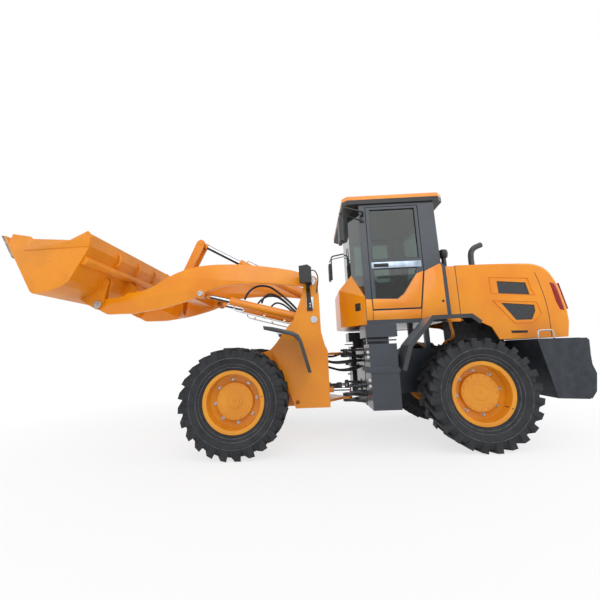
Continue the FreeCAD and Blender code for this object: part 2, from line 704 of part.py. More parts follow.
def step_tank(label, side):
    """The tank between the axles, hung from the frame, with steps above and below it."""
    body = new_body(label)
    shapes = (("tank", [(-165, 600), (-165, 930), (-470, 930), (-470, 600)]),
              ("step", [(-135, 560), (-135, 950), (-480, 950), (-480, 560)]),
              ("hanger", [(-225, 345), (-225, 565), (-480, 565), (-480, 345)]),
              ("post", [(-200, 570), (-200, 640), (-460, 640), (-460, 570)]))
    flat = {name: [(x, side * y) for x, y in corners] for name, corners in shapes}
    plate(body, "plan", 1020, 260, flat["tank"])
    plate(body, "plan", 645, 395, flat["tank"])
    plate(body, "plan", 866, 48, flat["step"])
    plate(body, "plan", 1295, 142, flat["step"])
    plate(body, "plan", 866, 24, flat["hanger"])
    plate(body, "plan", 1187, 74, flat["post"])
    return body


def strip(route, thickness):
    """The outline of a bent sheet: its outer line, and back along the inner one."""
    inner = []
    for index, (u, v) in enumerate(route):
        runs = [pair for pair in ((index - 1, index), (index, index + 1))
                if pair[0] >= 0 and pair[1] < len(route)]
        normals = []
        for a, b in runs:
            du, dv = route[b][0] - route[a][0], route[b][1] - route[a][1]
            normals.append((dv / math.hypot(du, dv), -du / math.hypot(du, dv)))
        nu, nv = [sum(part) / len(normals) for part in zip(*normals)]
        scale = thickness / (nu * nu + nv * nv)
        inner.append((round(u + nu * scale, 3), round(v + nv * scale, 3)))
    return list(route) + inner[::-1]


def mudguards_rear():
    """The bent mudguard over each rear wheel, fixed to the side of the cab."""
    body = new_body("mudguards_rear")
    route = [(-489, 865), (-578, 1126), (-864, 1434), (-1292, 1437), (-1389, 1355)]
    plate(body, "side", 850, 300, strip(route[::-1], 8))
    plate(body, "side", 996, 8, strip(route[::-1], 45))
    mirror_across(body)
    return body


# ---------------------------------------------------------------- cab

FRONT_LINE = [(-205, 700), (-110, 330), (-110, -330), (-205, -700)]


def cab_floor():
    body = new_body("cab_floor")
    plate(body, "plan", "cab_base_z / 2 + cab_floor_z / 2", "cab_floor_z - cab_base_z",
          FRONT_LINE + [(-1150, -700), (-1150, 700)])
    for x in (-330, -1000):
        plate(body, "plan", 1233, 306, [(x, 290), (x - 60, 290), (x - 60, 345), (x, 345)])
        plate(body, "plan", 1233, 306, [(x, -345), (x - 60, -345), (x - 60, -290), (x, -290)])
    return body


def trimmed_block(planes, inset):
    """A block cut down by planes, each a point on it and its outward direction."""
    reach = 3000
    block = Part.makeBox(reach, reach, reach, VECTOR(-reach / 2, -reach / 2, 400))
    for place, outward in planes:
        outward = VECTOR(*outward).normalize()
        waste = Part.makeBox(4 * reach, 4 * reach, 2 * reach, VECTOR(-2 * reach, -2 * reach, 0))
        waste.Placement = FreeCAD.Placement(
            VECTOR(*place) - outward * inset, FreeCAD.Rotation(VECTOR(0, 0, 1), outward))
        block = block.cut(waste)
    return block


def cab_nose():
    """The folded panel below the windscreen, hollow and open to the cab."""
    low, mid, top, brow = size("cab_base_z"), 1720, 1880, 2080
    front, corner, glass_line = (66, 330), (-205, 700), (-110, 330)
    planes = [((0, 0, low), (0, 0, -1)), ((front[0], 0, 0), (1, 0, 0)),
              ((front[0], 0, top), (brow - top, 0, front[0] - glass_line[0]))]
    for side in (1, -1):
        run = VECTOR(corner[0] - front[0], side * (corner[1] - front[1]), 0)
        planes.append(((front[0], side * front[1], 0), tuple(run.cross(VECTOR(0, 0, side)))))
        brow_point = VECTOR(glass_line[0], side * glass_line[1], brow)
        to_front = VECTOR(front[0], side * front[1], top) - brow_point
        to_corner = VECTOR(corner[0], side * corner[1], mid) - brow_point
        planes.append((tuple(brow_point), tuple(to_front.cross(to_corner) * side)))
    cab = Part.Face(Part.makePolygon([VECTOR(x, y, 1000) for x, y in FRONT_LINE + [
        (-1600, -900), (-1600, 900), FRONT_LINE[0]]])).extrude(VECTOR(0, 0, 2000))
    back = [((corner[0], 0, 0), (-1, 0, 0))]
    shell = trimmed_block(planes + back, 0).cut(trimmed_block(planes, 25)).cut(cab)
    return feature("cab_nose", shell)


def windscreen():
    """Three panes between the pillars, seated behind the edge of the nose."""
    body = new_body("windscreen")
    plate(body, "plan", 2300, 1210, strip(FRONT_LINE, size("glass")))
    cut_outline(body, "front", -150, 400, [(-800, 1600), (800, 1600), (800, 1608), (330, 2065),
                                           (-330, 2065), (-800, 1608)])
    cut_outline(body, "plan", 2300, 1400, [(-205, -800), (-205, 800), (-300, 800),
                                           (-300, -800)])
    return body


SIDE_PANEL = [(-205, 1430), (-205, 2905), (-1140, 2905), (-1150, 2110), (-1200, 2060),
              (-1207, 1430)]
DOORWAY = [(-282, 1552), (-282, 2868), (-941, 2868), (-941, 2015), (-868, 1552)]
DOOR = [(-290, 1560), (-290, 2860), (-933, 2860), (-933, 2014), (-861, 1560)]
UPPER_PANE = [(-335, 2183), (-335, 2830), (-895, 2830), (-895, 2183)]
LOWER_PANE = [(-335, 2060), (-335, 1700), (-591, 1687), (-668, 1744), (-834, 1983),
              (-860, 2060)]


def cab_side(label, side, openings):
    body = new_body(label)
    plate(body, "side", "%s * 680" % side, "cab_wall", SIDE_PANEL)
    for corners in openings:
        cut_outline(body, "side", "%s * 680" % side, "cab_wall + 20", corners)
    return body


def door_frame():
    body = new_body("door_frame")
    plate(body, "side", 680, "cab_wall", DOOR)
    for corners in (UPPER_PANE, LOWER_PANE):
        cut_outline(body, "side", 680, "cab_wall + 20", corners)
    return body


def door_glass():
    body = new_body("door_glass")
    for corners in (UPPER_PANE, LOWER_PANE):
        plate(body, "side", 680, "glass", corners)
    return body


REAR_WINDOW = [(-560, 2150), (560, 2150), (560, 2820), (-560, 2820)]


def cab_rear():
    body = new_body("cab_rear")
    inside = size("cab_half") - size("cab_wall")
    plate(body, "front", "cab_rear_x + cab_wall / 2", "cab_wall",
          [(-inside, 1430), (inside, 1430), (inside, 2905), (-inside, 2905)])
    cut_outline(body, "front", "cab_rear_x + cab_wall / 2", "cab_wall + 20", REAR_WINDOW)
    return body


def cab_glass():
    """The fixed panes in the back wall and the right side."""
    body = new_body("cab_glass")
    plate(body, "front", "cab_rear_x + cab_wall / 2", "glass", REAR_WINDOW)
    for corners in (UPPER_PANE, LOWER_PANE):
        plate(body, "side", -680, "glass", corners)
    return body


def cab_roof():
    body = new_body("cab_roof")
    plate(body, "plan", "cab_top_z + roof_thickness / 2", "roof_thickness",
          [(0, 660), (0, -660), (-60, -725), (-1200, -725), (-1267, -660), (-1267, 660),
           (-1200, 725), (-60, 725)])
    return body


def seat_pedestal():
    body = new_body("seat_pedestal")
    plate(body, "side", 0, 380, [(-470, 1430), (-470, 1790), (-860, 1790), (-860, 1430)])
    plate(body, "side", 0, 120, [(-845, 1790), (-900, 1790), (-985, 2300), (-960, 2310)])
    return body


def seat_cushions():
    """The plain volumes of the seat's cushion and backrest."""
    body = new_body("seat_cushion")
    plate(body, "side", 0, 500, [(-390, 1792), (-390, 1890), (-830, 1900), (-836, 1792)])
    back = new_body("seat_backrest")
    plate(back, "side", 0, 460, [(-845, 1905), (-745, 1905), (-830, 2400), (-950, 2400)])
    return [body, back]


def steering_console():
    """The dash, the column and the steering wheel."""
    body = new_body("dash_box")
    plate(body, "side", 0, 240, [(-150, 1430), (-150, 2000), (-220, 2010), (-300, 1430)])
    wheel = turned("steering_wheel_rim", [(-14, 172), (-14, 200), (14, 200), (14, 172)],
                   (-400, 0, 2040), (0, 1, 0), -28)
    spokes = turned("steering_wheel_hub", [(-30, 0), (-30, 60), (12, 60), (12, 0)],
                    (-400, 0, 2040), (0, 1, 0), -28)
    arms = turned("steering_wheel_spokes", [(-8, 0), (-8, 174), (2, 174), (2, 0)],
                  (-400, 0, 2040), (0, 1, 0), -28)
    column = turned("steering_column", [(-330, 0), (-330, 34), (-20, 34), (-20, 0)],
                    (-400, 0, 2040), (0, 1, 0), -28)
    return fuse("steering_console", [body, wheel, spokes, arms, column])


def mirrors():
    """A mirror head at each side, on a tube that runs forward from the corner pillar."""
    pieces = []
    for side in (1, -1):
        pieces.append(tube_along([(-240, side * 700, 2760), (-240, side * 800, 2760),
                                  (40, side * 960, 2760), (40, side * 960, 2330)], 12, 50))
        head = Part.makeBox(45, 170, 300, VECTOR(50, side * 960 - 85, 2310))
        pieces.append(head.makeChamfer(12, head.Edges))
    return feature("mirrors", pieces[0].multiFuse(pieces[1:]))


# ---------------------------------------------------------------- engine hood

HOOD_SIDE = [(-1366, 1400), (-1366, 2085), (-2330, 2075), (-2480, 2005), (-2582, 1807),
             (-2641, 1486), (-2643, 1330), (-2604, 1154), (-1785, 1152), (-1712, 1304),
             (-1590, 1369)]
HOOD_INSIDE = [(-1300, 1300), (-1300, 2060), (-2322, 2050), (-2462, 1988), (-2558, 1800),
               (-2616, 1484), (-2618, 1334), (-2578, 1100), (-1700, 1100)]
UPPER_VENT = [(-1845, 1862), (-2187, 1830), (-2217, 1678), (-1846, 1710)]
LOWER_VENT = [(-1860, 1591), (-2250, 1551), (-2253, 1480), (-2198, 1374), (-2010, 1375)]


def hood_shell():
    """The one-piece hood, hollow and open below, hinged at its tail."""
    body = new_body("hood_shell")
    plate(body, "side", 0, "2 * hood_half", HOOD_SIDE)
    cut_outline(body, "side", 0, "2 * hood_half - 2 * hood_sheet", HOOD_INSIDE)
    for corners in (UPPER_VENT, LOWER_VENT):
        cut_outline(body, "side", 0, "2 * hood_half + 20", corners)
    return body


def hood_grilles():
    body = new_body("hood_grilles")
    for corners in (UPPER_VENT, LOWER_VENT):
        plate(body, "side", "hood_half - hood_sheet / 2", 12, corners)
    mirror_across(body)
    return body


def tail_lamps():
    body = new_body("tail_lamps")
    plate(body, "side", 520, 130, [(-2582, 1807), (-2641, 1486), (-2655, 1486), (-2596, 1809)])
    mirror_across(body)
    return body


def exhaust_stack():
    pipe = tube_along([(-1844, 100, 2080.5), (-1844, 100, 2440), (-2012, 100, 2505)], 38, 70)
    return feature("exhaust_stack", pipe)


def bonnet_cowl():
    """The fixed arch between the cab's back wall and the hood."""
    body = new_body("bonnet_cowl")
    plate(body, "front", -1254, 208, [(-600, 1386), (-600, 2088), (600, 2088), (600, 1386),
                                      (575, 1386), (575, 2063), (-575, 2063), (-575, 1386)])
    return body


def precleaner():
    return turned("precleaner", [(0, 0), (0, 30), (72, 30), (80, 48), (150, 58), (200, 58),
                                 (240, 50), (262, 20), (262, 0)], (-1260, 420, 2088))


def drive_shaft(label, profile, x, z, lean):
    return turned(label, profile, (x, 0, z), (0, 1, 0), lean)


# ---------------------------------------------------------------- assembly

def build():
    parts = []
    for tag, side in (("left", 1), ("right", -1)):
        for end, wheel_x in (("front", "front_axle_x"), ("rear", "rear_axle_x")):
            parts.append(tyre("tyre_%s_%s" % (end, tag), wheel_x, side))
            parts.append(rim("rim_%s_%s" % (end, tag), wheel_x, side))
    parts += [axle("front_axle", "front_axle_x"), axle("rear_axle", "rear_axle_x")]
    parts += [front_frame(), mudguards_front(), work_lamps(), boom_arms(), boom_cross_beam(),
              bell_crank(), bucket_link(), bucket_shell(), bucket_edge(), bucket_brackets()]
    parts += lift_cylinders() + tilt_cylinder() + steering_cylinders()
    parts += [rear_frame(), counterweight(), engine_block(), transmission(), radiator(),
              step_tank("step_tank_left", 1), step_tank("fuel_tank_right", -1)]
    parts += [cab_floor(), cab_nose(), windscreen(), cab_side("cab_side_left", 1, [DOORWAY]),
              cab_side("cab_side_right", -1, [UPPER_PANE, LOWER_PANE]), cab_rear(),
              cab_glass(), cab_roof(), door_frame(), door_glass(), mirrors(), mudguards_rear(),
              seat_pedestal(), steering_console()] + seat_cushions()
    parts += [hood_shell(), hood_grilles(), tail_lamps(), exhaust_stack(), bonnet_cowl(),
              precleaner()]
    parts.append(drive_shaft("front_drive_shaft", [(0, 0), (0, 45), (60, 45), (75, 32),
                             (1000, 32), (1015, 60), (1075, 60), (1075, 0)], 72, 620, 91.5))
    parts.append(drive_shaft("rear_drive_shaft", [(0, 0), (0, 60), (15, 60), (30, 32),
                             (240, 32), (260, 45), (330, 45), (330, 0)], -400, 620, 90))
    return parts


def export(parts):
    DOC.recompute()
    for item in DOC.Objects:
        if "Invalid" in item.State or "Error" in item.State:
            raise RuntimeError("%s did not build: %s" % (item.Label, item.State))
    os.makedirs("parts", exist_ok=True)
    for part in parts:
        shape = part.Shape
        if shape.isNull() or not shape.isValid() or not shape.Solids:
            raise RuntimeError("%s is not a valid solid" % part.Label)
        shape.exportStep(os.path.join("parts", part.Label + ".step"))
    print("wrote %d sub-parts" % len(parts))


export(build())
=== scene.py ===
# %% [markdown]
# # A compact articulated wheel loader
# The steelwork comes from the construction model as a fixed frame: each node
# is a mesh in metres, X forwards, Y to the left, Z up, standing on Z = 0.
# This lesson gives every node its real finish, bends its sheet metal, and adds
# what is too fine for the construction model: nuts, seals, hoses, mesh
# grilles, trim and cushions.

# %% Load the frame
import json
import math

import bmesh
import bpy
from mathutils import Matrix, Vector


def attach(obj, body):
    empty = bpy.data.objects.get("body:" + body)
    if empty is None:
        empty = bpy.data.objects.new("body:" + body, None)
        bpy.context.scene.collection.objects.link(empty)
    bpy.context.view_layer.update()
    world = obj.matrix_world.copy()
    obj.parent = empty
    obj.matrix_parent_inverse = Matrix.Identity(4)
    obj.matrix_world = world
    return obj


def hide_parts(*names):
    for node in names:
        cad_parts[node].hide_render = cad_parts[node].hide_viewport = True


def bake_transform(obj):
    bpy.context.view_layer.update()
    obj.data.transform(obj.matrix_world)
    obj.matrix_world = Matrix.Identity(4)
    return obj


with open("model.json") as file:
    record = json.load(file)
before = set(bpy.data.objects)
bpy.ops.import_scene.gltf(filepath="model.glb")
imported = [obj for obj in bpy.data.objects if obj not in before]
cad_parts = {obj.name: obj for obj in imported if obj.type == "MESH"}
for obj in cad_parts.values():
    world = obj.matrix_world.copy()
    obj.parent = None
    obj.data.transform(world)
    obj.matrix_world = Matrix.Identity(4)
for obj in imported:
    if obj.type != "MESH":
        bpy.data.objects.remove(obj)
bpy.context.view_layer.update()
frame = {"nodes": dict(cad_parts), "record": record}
MM = 0.001

# %% [markdown]
# ## How materials are made
# Every finish is a Principled BSDF fed by small procedural patterns, because
# a machine of painted steel shows its age by dust, orange peel and rubbed
# edges rather than by drawn pictures. Colours are written as sRGB hex, as a
# paint card gives them, and turned to linear light once. Pattern sizes are
# given in millimetres: a noise texture shows about one feature per unit of
# its scale, so the scale is 1000 divided by the feature's size.

# %% Colour and node helpers
def linear(hex_colour):
    """Turns an sRGB hex colour to the linear RGBA that Blender works in."""
    channels = [int(hex_colour[i:i + 2], 16) / 255 for i in (1, 3, 5)]
    return [c / 12.92 if c <= 0.04045 else ((c + 0.055) / 1.055) ** 2.4 for c in channels] + [1.0]


def add_node(owner, kind, settings=None, links=None):
    """Adds one node, sets its properties or sockets, and links its inputs.

    A socket goes by its name, or by its place where several share a name.
    """
    node = owner.node_tree.nodes.new(kind)
    for name, value in (settings or {}).items():
        if isinstance(name, int) or name in node.inputs:
            node.inputs[name].default_value = value
        else:
            setattr(node, name, value)
    for name, source in (links or {}).items():
        owner.node_tree.links.new(source, node.inputs[name])
    return node


def start_material(name, roughness, metallic=0.0, **settings):
    """A new material with a Principled BSDF, and Object coordinates to draw on."""
    material = bpy.data.materials.new(name)
    material.use_nodes = True
    shader = material.node_tree.nodes["Principled BSDF"]
    shader.inputs["Roughness"].default_value = roughness
    shader.inputs["Metallic"].default_value = metallic
    for socket, value in settings.items():
        shader.inputs[socket.replace("_", " ")].default_value = value
    place = add_node(material, "ShaderNodeTexCoord").outputs["Object"]
    return material, shader, place


def colour_by_noise(material, shader, place, size_mm, dark, light, low=0.35, high=0.65):
    """Lets a soft noise of one real size move the colour between two hex values."""
    noise = add_node(material, "ShaderNodeTexNoise",
                     {"Scale": 1 / (size_mm * MM), "Detail": 4.0}, {"Vector": place})
    ramp = add_node(material, "ShaderNodeValToRGB", links={"Fac": noise.outputs["Fac"]})
    ramp.color_ramp.elements[0].position = low
    ramp.color_ramp.elements[0].color = linear(dark)
    ramp.color_ramp.elements[1].position = high
    ramp.color_ramp.elements[1].color = linear(light)
    material.node_tree.links.new(ramp.outputs["Color"], shader.inputs["Base Color"])
    return ramp.outputs["Color"]


def bump_by_noise(material, shader, place, size_mm, height_mm, strength=1.0):
    """Raises the surface by a fine noise, such as orange peel or cast grain."""
    noise = add_node(material, "ShaderNodeTexNoise",
                     {"Scale": 1 / (size_mm * MM), "Detail": 3.0}, {"Vector": place})
    bump = add_node(material, "ShaderNodeBump", {"Strength": strength, "Distance": height_mm * MM},
                    {"Height": noise.outputs["Fac"]})
    material.node_tree.links.new(bump.outputs["Normal"], shader.inputs["Normal"])


def upward(material):
    """How far the surface looks up: 1 on a level top, 0 on a wall, -1 on an underside."""
    normal = add_node(material, "ShaderNodeTexCoord").outputs["Normal"]
    return add_node(material, "ShaderNodeSeparateXYZ", links={"Vector": normal}).outputs["Z"]


MIX_SHARE, MIX_UNDER, MIX_OVER, MIX_RESULT = 0, 6, 7, 2  # a mix node's sockets for colours


def colour_over(material, shader, under, over, share):
    """Lays a hex colour over another in a share from 0 to 1, as wear and dirt do, and as the painted sheen and
    painted reflections do.
    """
    layers = add_node(material, "ShaderNodeMix", {"data_type": "RGBA", MIX_OVER: linear(over)},
                      {MIX_SHARE: share, MIX_UNDER: under})
    material.node_tree.links.new(layers.outputs[MIX_RESULT], shader.inputs["Base Color"])


print("helpers ready")

# %% [markdown]
# ## Enamel
# The sheet metal wears two-pack enamel, sprayed over primer and left glossy.
# It gives the eye a saturated orange-yellow with a clear highlight that the
# orange peel of the spray breaks up a little, and it dulls where dust lies.
# The slate enamel of the counterweight and the cab frame is the same paint
# in another colour, so one function makes both.

# %% Sprayed enamel
PEEL_SIZE = 9       # orange peel drawn coarser than its real 3 mm, so that it shows
PEEL_HEIGHT = 0.15
HANDLING_PATCH = 420  # patches of dust and fading, about a hand's reach across


def sprayed_enamel(name, dark, light, roughness, coat):
    """Enamel between two near colours, under a clear coat of one weight."""
    material, shader, place = start_material(name, roughness, Coat_Weight=coat, Coat_Roughness=0.12)
    colour_by_noise(material, shader, place, HANDLING_PATCH, dark, light)
    bump_by_noise(material, shader, place, PEEL_SIZE, PEEL_HEIGHT, 0.35)
    return material


yellow_enamel = sprayed_enamel("yellow_enamel_sprayed", "#EE8A00", "#F69800", 0.3, 0.25)
slate_enamel = sprayed_enamel("slate_enamel_sprayed", "#272D35", "#323A44", 0.36, 0.35)
rim_enamel = sprayed_enamel("rim_enamel_sprayed", "#DD8C12", "#EB9E1E", 0.42, 0.2)
print("enamels", yellow_enamel.name, slate_enamel.name, rim_enamel.name)

# %% [markdown]
# ## Castings, guards and moulded plastic
# Axle housings and links are sand castings under thin paint, so their grain shows. The wheel guards are pressed
# steel in satin black, and their upward faces are painted a silvery grey, a painted sheen that stands for the sky's
# reflection. Trim, lamp bodies and seals are moulded plastic.

# %% Painted castings
casting_paint, shader, place = start_material("painted_sand_casting", 0.55)
colour_by_noise(casting_paint, shader, place, 90, "#1E2329", "#2E353D")
bump_by_noise(casting_paint, shader, place, 6, 0.5, 0.6)

engine_paint, shader, place = start_material("engine_casting_paint", 0.6)
colour_by_noise(engine_paint, shader, place, 60, "#3A3D40", "#55585B")
bump_by_noise(engine_paint, shader, place, 5, 0.4, 0.6)
print("castings", casting_paint.name, engine_paint.name)

# %% Guards with a painted sheen on top
guard_black, shader, place = start_material("satin_black_guard", 0.3, Coat_Weight=0.5, Coat_Roughness=0.15)
black = colour_by_noise(guard_black, shader, place, 160, "#1A1B1D", "#303337", 0.3, 0.8)
# Painted sheen: the more a face looks up, the more it is painted silvery grey, as a painted reflection of the sky.
painted_sheen = add_node(guard_black, "ShaderNodeMapRange", {"From Min": 0.2, "From Max": 0.95, "To Max": 0.8},
                 {"Value": upward(guard_black)})
colour_over(guard_black, shader, black, "#8995A3", painted_sheen.outputs["Result"])
bump_by_noise(guard_black, shader, place, 14, 0.2, 0.4)
print("guards", guard_black.name)

# %% Moulded plastic
moulded_black, shader, place = start_material("moulded_black_plastic", 0.42)
colour_by_noise(moulded_black, shader, place, 40, "#131416", "#1E2022")
bump_by_noise(moulded_black, shader, place, 3, 0.1, 0.5)
print("plastic", moulded_black.name)

# %% [markdown]
# ## Rubber
# Tyre rubber is carbon black in a soft binder: nearly no shine, a grey bloom,
# and pale soil that stays in its pores. The hose cover is the same stuff with
# a smoother skin.

# %% Rubber
tyre_rubber, shader, place = start_material("tyre_rubber_cured", 0.82)
colour_by_noise(tyre_rubber, shader, place, 110, "#1E1F21", "#34363A", 0.3, 0.75)
bump_by_noise(tyre_rubber, shader, place, 5, 0.35, 0.5)

# The ribs stand proud and are drawn a lighter grey than the sidewall.
rib_rubber, shader, place = start_material("tyre_rubber_lighter_ribs", 0.75)
colour_by_noise(rib_rubber, shader, place, 60, "#3C3E42", "#5E6166")

hose_rubber, shader, place = start_material("hose_cover_rubber", 0.5)
colour_by_noise(hose_rubber, shader, place, 30, "#101113", "#1C1D20")
bump_by_noise(hose_rubber, shader, place, 4, 0.15, 0.4)
print("rubbers ready")

# %% [markdown]
# ## Bare metal
# Rods are ground and hard chromed, which mirrors the sky as a thin bright line. On the rods the top and the
# underside are painted near black, a painted reflection of dark surroundings, so a rod shines only in a band along
# its flank. The cutting edge is quenched plate that gravel has rubbed to steel. Pipes and nuts are zinc plated, a
# softer grey metal.

# %% Bare metals
hard_chrome, shader, place = start_material("hard_chrome_ground", 0.14, 1.0)
colour_by_noise(hard_chrome, shader, place, 70, "#C4C8CC", "#DCDFE2")

# Painted reflection: the top and the underside of a rod are painted near black, and only the flank keeps the bright
# chrome.
painted_reflection_chrome, shader, place = start_material("hard_chrome_painted_reflection", 0.16, 1.0)
bright_chrome = colour_by_noise(painted_reflection_chrome, shader, place, 70, "#C4C8CC", "#DCDFE2")
height = upward(painted_reflection_chrome)
# Where the painted dark reflection begins and is full on the top and the underside, and how much of it is laid on.
PAINTED_DARK_TOP, PAINTED_DARK_UNDERSIDE, PAINTED_DARK_SHARE = (0.5, 0.7), (-0.1, -0.3), 0.95
painted_dark_bands = []
for clear, dark_at in (PAINTED_DARK_TOP, PAINTED_DARK_UNDERSIDE):
    share = add_node(painted_reflection_chrome, "ShaderNodeMapRange", {"From Min": clear, "From Max": dark_at, "To Max": PAINTED_DARK_SHARE},
                     {"Value": height})
    painted_dark_bands.append(share.outputs["Result"])
painted_dark_band = add_node(painted_reflection_chrome, "ShaderNodeMath", {"operation": "MAXIMUM"}, dict(enumerate(painted_dark_bands)))
colour_over(painted_reflection_chrome, shader, bright_chrome, "#1B1D20", painted_dark_band.outputs[0])

worn_steel, shader, place = start_material("gravel_worn_steel", 0.46, 0.85)
colour_by_noise(worn_steel, shader, place, 55, "#6E665C", "#A29B90")
bump_by_noise(worn_steel, shader, place, 8, 0.4, 0.5)

zinc_plate, shader, place = start_material("zinc_plated_steel", 0.34, 1.0)
colour_by_noise(zinc_plate, shader, place, 12, "#A9ADB0", "#CFD2D4")
print("metals ready")

# %% [markdown]
# ## Glass, lenses and vinyl
# The panes are toughened glass tinted green in the melt, so the colour comes
# from the transmission and not from a film. The lamp lens is dyed acrylic,
# and the seat is embossed vinyl, whose grain is a pattern of small cells.

# %% Tinted glass
TINT = "#7D918A"
WINDOW_INDEX = 1.5
tinted_glass, shader, place = start_material("green_tinted_glass", 0.03, IOR=WINDOW_INDEX,
                                             Transmission_Weight=1.0)
shader.inputs["Base Color"].default_value = linear(TINT)
print("glass tinted", TINT)

# %% Acrylic lens
red_acrylic, shader, place = start_material("red_acrylic_lens", 0.12, IOR=1.49, Transmission_Weight=0.25)
colour_by_noise(red_acrylic, shader, place, 25, "#8E120E", "#B81F17")
print("lens", red_acrylic.name)

# %% Embossed vinyl
GRAIN_CELL = 4.5  # the real cell of 1.5 mm, drawn three times as coarse so that it shows
seat_vinyl, shader, place = start_material("embossed_seat_vinyl", 0.52)
colour_by_noise(seat_vinyl, shader, place, 80, "#18191B", "#26282B")
grain = add_node(seat_vinyl, "ShaderNodeTexVoronoi", {"Scale": 1 / (GRAIN_CELL * MM)}, {"Vector": place})
emboss = add_node(seat_vinyl, "ShaderNodeBump", {"Strength": 0.5, "Distance": 0.4 * MM},
                  {"Height": grain.outputs["Distance"]})
seat_vinyl.node_tree.links.new(emboss.outputs["Normal"], shader.inputs["Normal"])
print("vinyl grain drawn at", GRAIN_CELL, "mm")

# %% [markdown]
# ## Dressing the frame
# Each node already carries the name of its slot, so the finish is put in the
# slots of the node's own object and the mesh is left alone.

# %% Finish of each node
SLOT_FINISH = {
    "body_paint": yellow_enamel, "dark_paint": slate_enamel, "cast_grey": casting_paint,
    "fender_black": guard_black, "tyre_rubber": tyre_rubber, "rim_paint": rim_enamel,
    "chrome": hard_chrome, "steel_edge": worn_steel, "glass": tinted_glass,
    "black_plastic": moulded_black, "seat_vinyl": seat_vinyl, "red_lens": red_acrylic,
    "engine_metal": engine_paint,
}
slot_of_node = {part["node"]: part["material_slot"] for part in frame["record"]["subparts"]}


def dress(name, finish):
    """Puts a finish in every slot of a node's own object."""
    node = frame["nodes"][name]
    if not node.material_slots:
        node.data.materials.append(finish)
    for slot in node.material_slots:
        slot.material = finish


for name in frame["nodes"]:
    dress(name, SLOT_FINISH[slot_of_node[name]])
# The rods take the chrome with its painted dark reflection.
for name in ("lift_rods", "tilt_rod", "steering_rod_left", "steering_rod_right"):
    dress(name, painted_reflection_chrome)
print(len(frame["nodes"]), "nodes dressed")

# %% [markdown]
# ## Tools for the small pieces
# The trim is modelled where it sits. Lengths are given in millimetres from the articulation pin, and one function
# turns them to metres in the frame. A part is a bmesh: a bar, a turned shape, a plate cut to a side view, or a pipe
# drawn along a smooth line. Parts of one piece are poured into one shape, and settling it makes the object.

# %% Places and parts
HINGE_X = -710
CORNER_ANGLE = 0.45    # radians; a smaller angle between two faces is a facet of a curve
MERGE_DISTANCE = 1e-6  # metres between vertices that are one


def spot(x, y, z):
    """A point in millimetres from the articulation pin, in frame metres."""
    return Vector(((x + HINGE_X) * MM, y * MM, z * MM))


def stand(x, y, z, turn=0.0, axis="Y"):
    """The place of a part that keeps the machine's axes, or is turned about one of them."""
    return Matrix.Translation(spot(x, y, z)) @ Matrix.Rotation(turn, 4, axis)


def ease(part, width, segments=2):
    """Rounds every real corner of a part, as sanding or a press tool does."""
    corners = [e for e in part.edges if e.is_manifold and e.calc_face_angle() > CORNER_ANGLE]
    bmesh.ops.bevel(part, geom=corners, offset=width * MM, offset_type="OFFSET", segments=segments,
                    profile=0.5, affect="EDGES", clamp_overlap=True, material=-1)
    return part


def bar(length, depth, height, width=1.5, segments=2):
    """A bar about its own middle."""
    part = bmesh.new()
    bmesh.ops.create_cube(part, size=1.0)
    bmesh.ops.scale(part, vec=Vector((length, depth, height)) * MM, verts=part.verts)
    return ease(part, width, segments)


def hexagon(flats, height, width=1.0):
    """A bolt head or nut standing on Z = 0."""
    part = bmesh.new()
    corner = flats / math.sqrt(3) * MM
    bmesh.ops.create_cone(part, segments=6, radius1=corner, radius2=corner, depth=height * MM,
                          cap_ends=True, cap_tris=False, matrix=Matrix.Translation((0, 0, height / 2 * MM)))
    return ease(part, width, 1)


def turned(profile, steps=32):
    """Spins (height, radius) pairs about Z, as a lathe does."""
    part = bmesh.new()
    corners = [part.verts.new((radius * MM, 0, height * MM)) for height, radius in profile]
    edges = [part.edges.new(pair) for pair in zip(corners, corners[1:])]
    bmesh.ops.spin(part, geom=corners + edges, cent=(0, 0, 0), axis=(0, 0, 1), angle=math.tau,
                   steps=steps, use_merge=True)
    return part


def disc(radius, height, edge=(1, 2), steps=20):
    """A turned disc, such as a washer or a button; edge is the height and width cut off its rim."""
    down, back = edge
    return turned([(0, 0), (0, radius), (height - down, radius), (height, radius - back), (height, 0)], steps)


def thicken(part, y, thickness):
    """Gives flat faces at y a thickness away from the machine's middle."""
    grown = bmesh.ops.extrude_face_region(part, geom=part.faces[:])["geom"]
    bmesh.ops.translate(part, vec=(0, math.copysign(thickness, y) * MM, 0),
                        verts=[v for v in grown if isinstance(v, bmesh.types.BMVert)])
    bmesh.ops.recalc_face_normals(part, faces=part.faces)
    return part


def plate(outline, y, thickness, width=1.2):
    """A plate cut to a side view of (x, z) corners, standing on the plane y."""
    part = bmesh.new()
    part.faces.new([part.verts.new(spot(x, y, z)) for x, z in outline])
    return ease(thicken(part, y, thickness), width)


def surround(outline, y, thickness, band, width=1.2):
    """A closed band along the inside of a side view, such as a seal or a pressed frame."""
    part = bmesh.new()
    face = part.faces.new([part.verts.new(spot(x, y, z)) for x, z in outline])
    bmesh.ops.inset_region(part, faces=[face], thickness=band * MM, use_boundary=True, use_even_offset=True)
    bmesh.ops.delete(part, geom=[face], context="FACES")
    return ease(thicken(part, y, thickness), width)


def smooth_line(points):
    """A NURBS curve whose control points are a route's points in the frame."""
    curve = bpy.data.curves.new("line", "CURVE")
    curve.dimensions = "3D"
    spline = curve.splines.new("NURBS")
    spline.points.add(len(points) - 1)
    for knot, point in zip(spline.points, points):
        knot.co = (*point, 1.0)
    spline.order_u = 3
    spline.use_endpoint_u = True
    curve.resolution_u = 6
    return curve


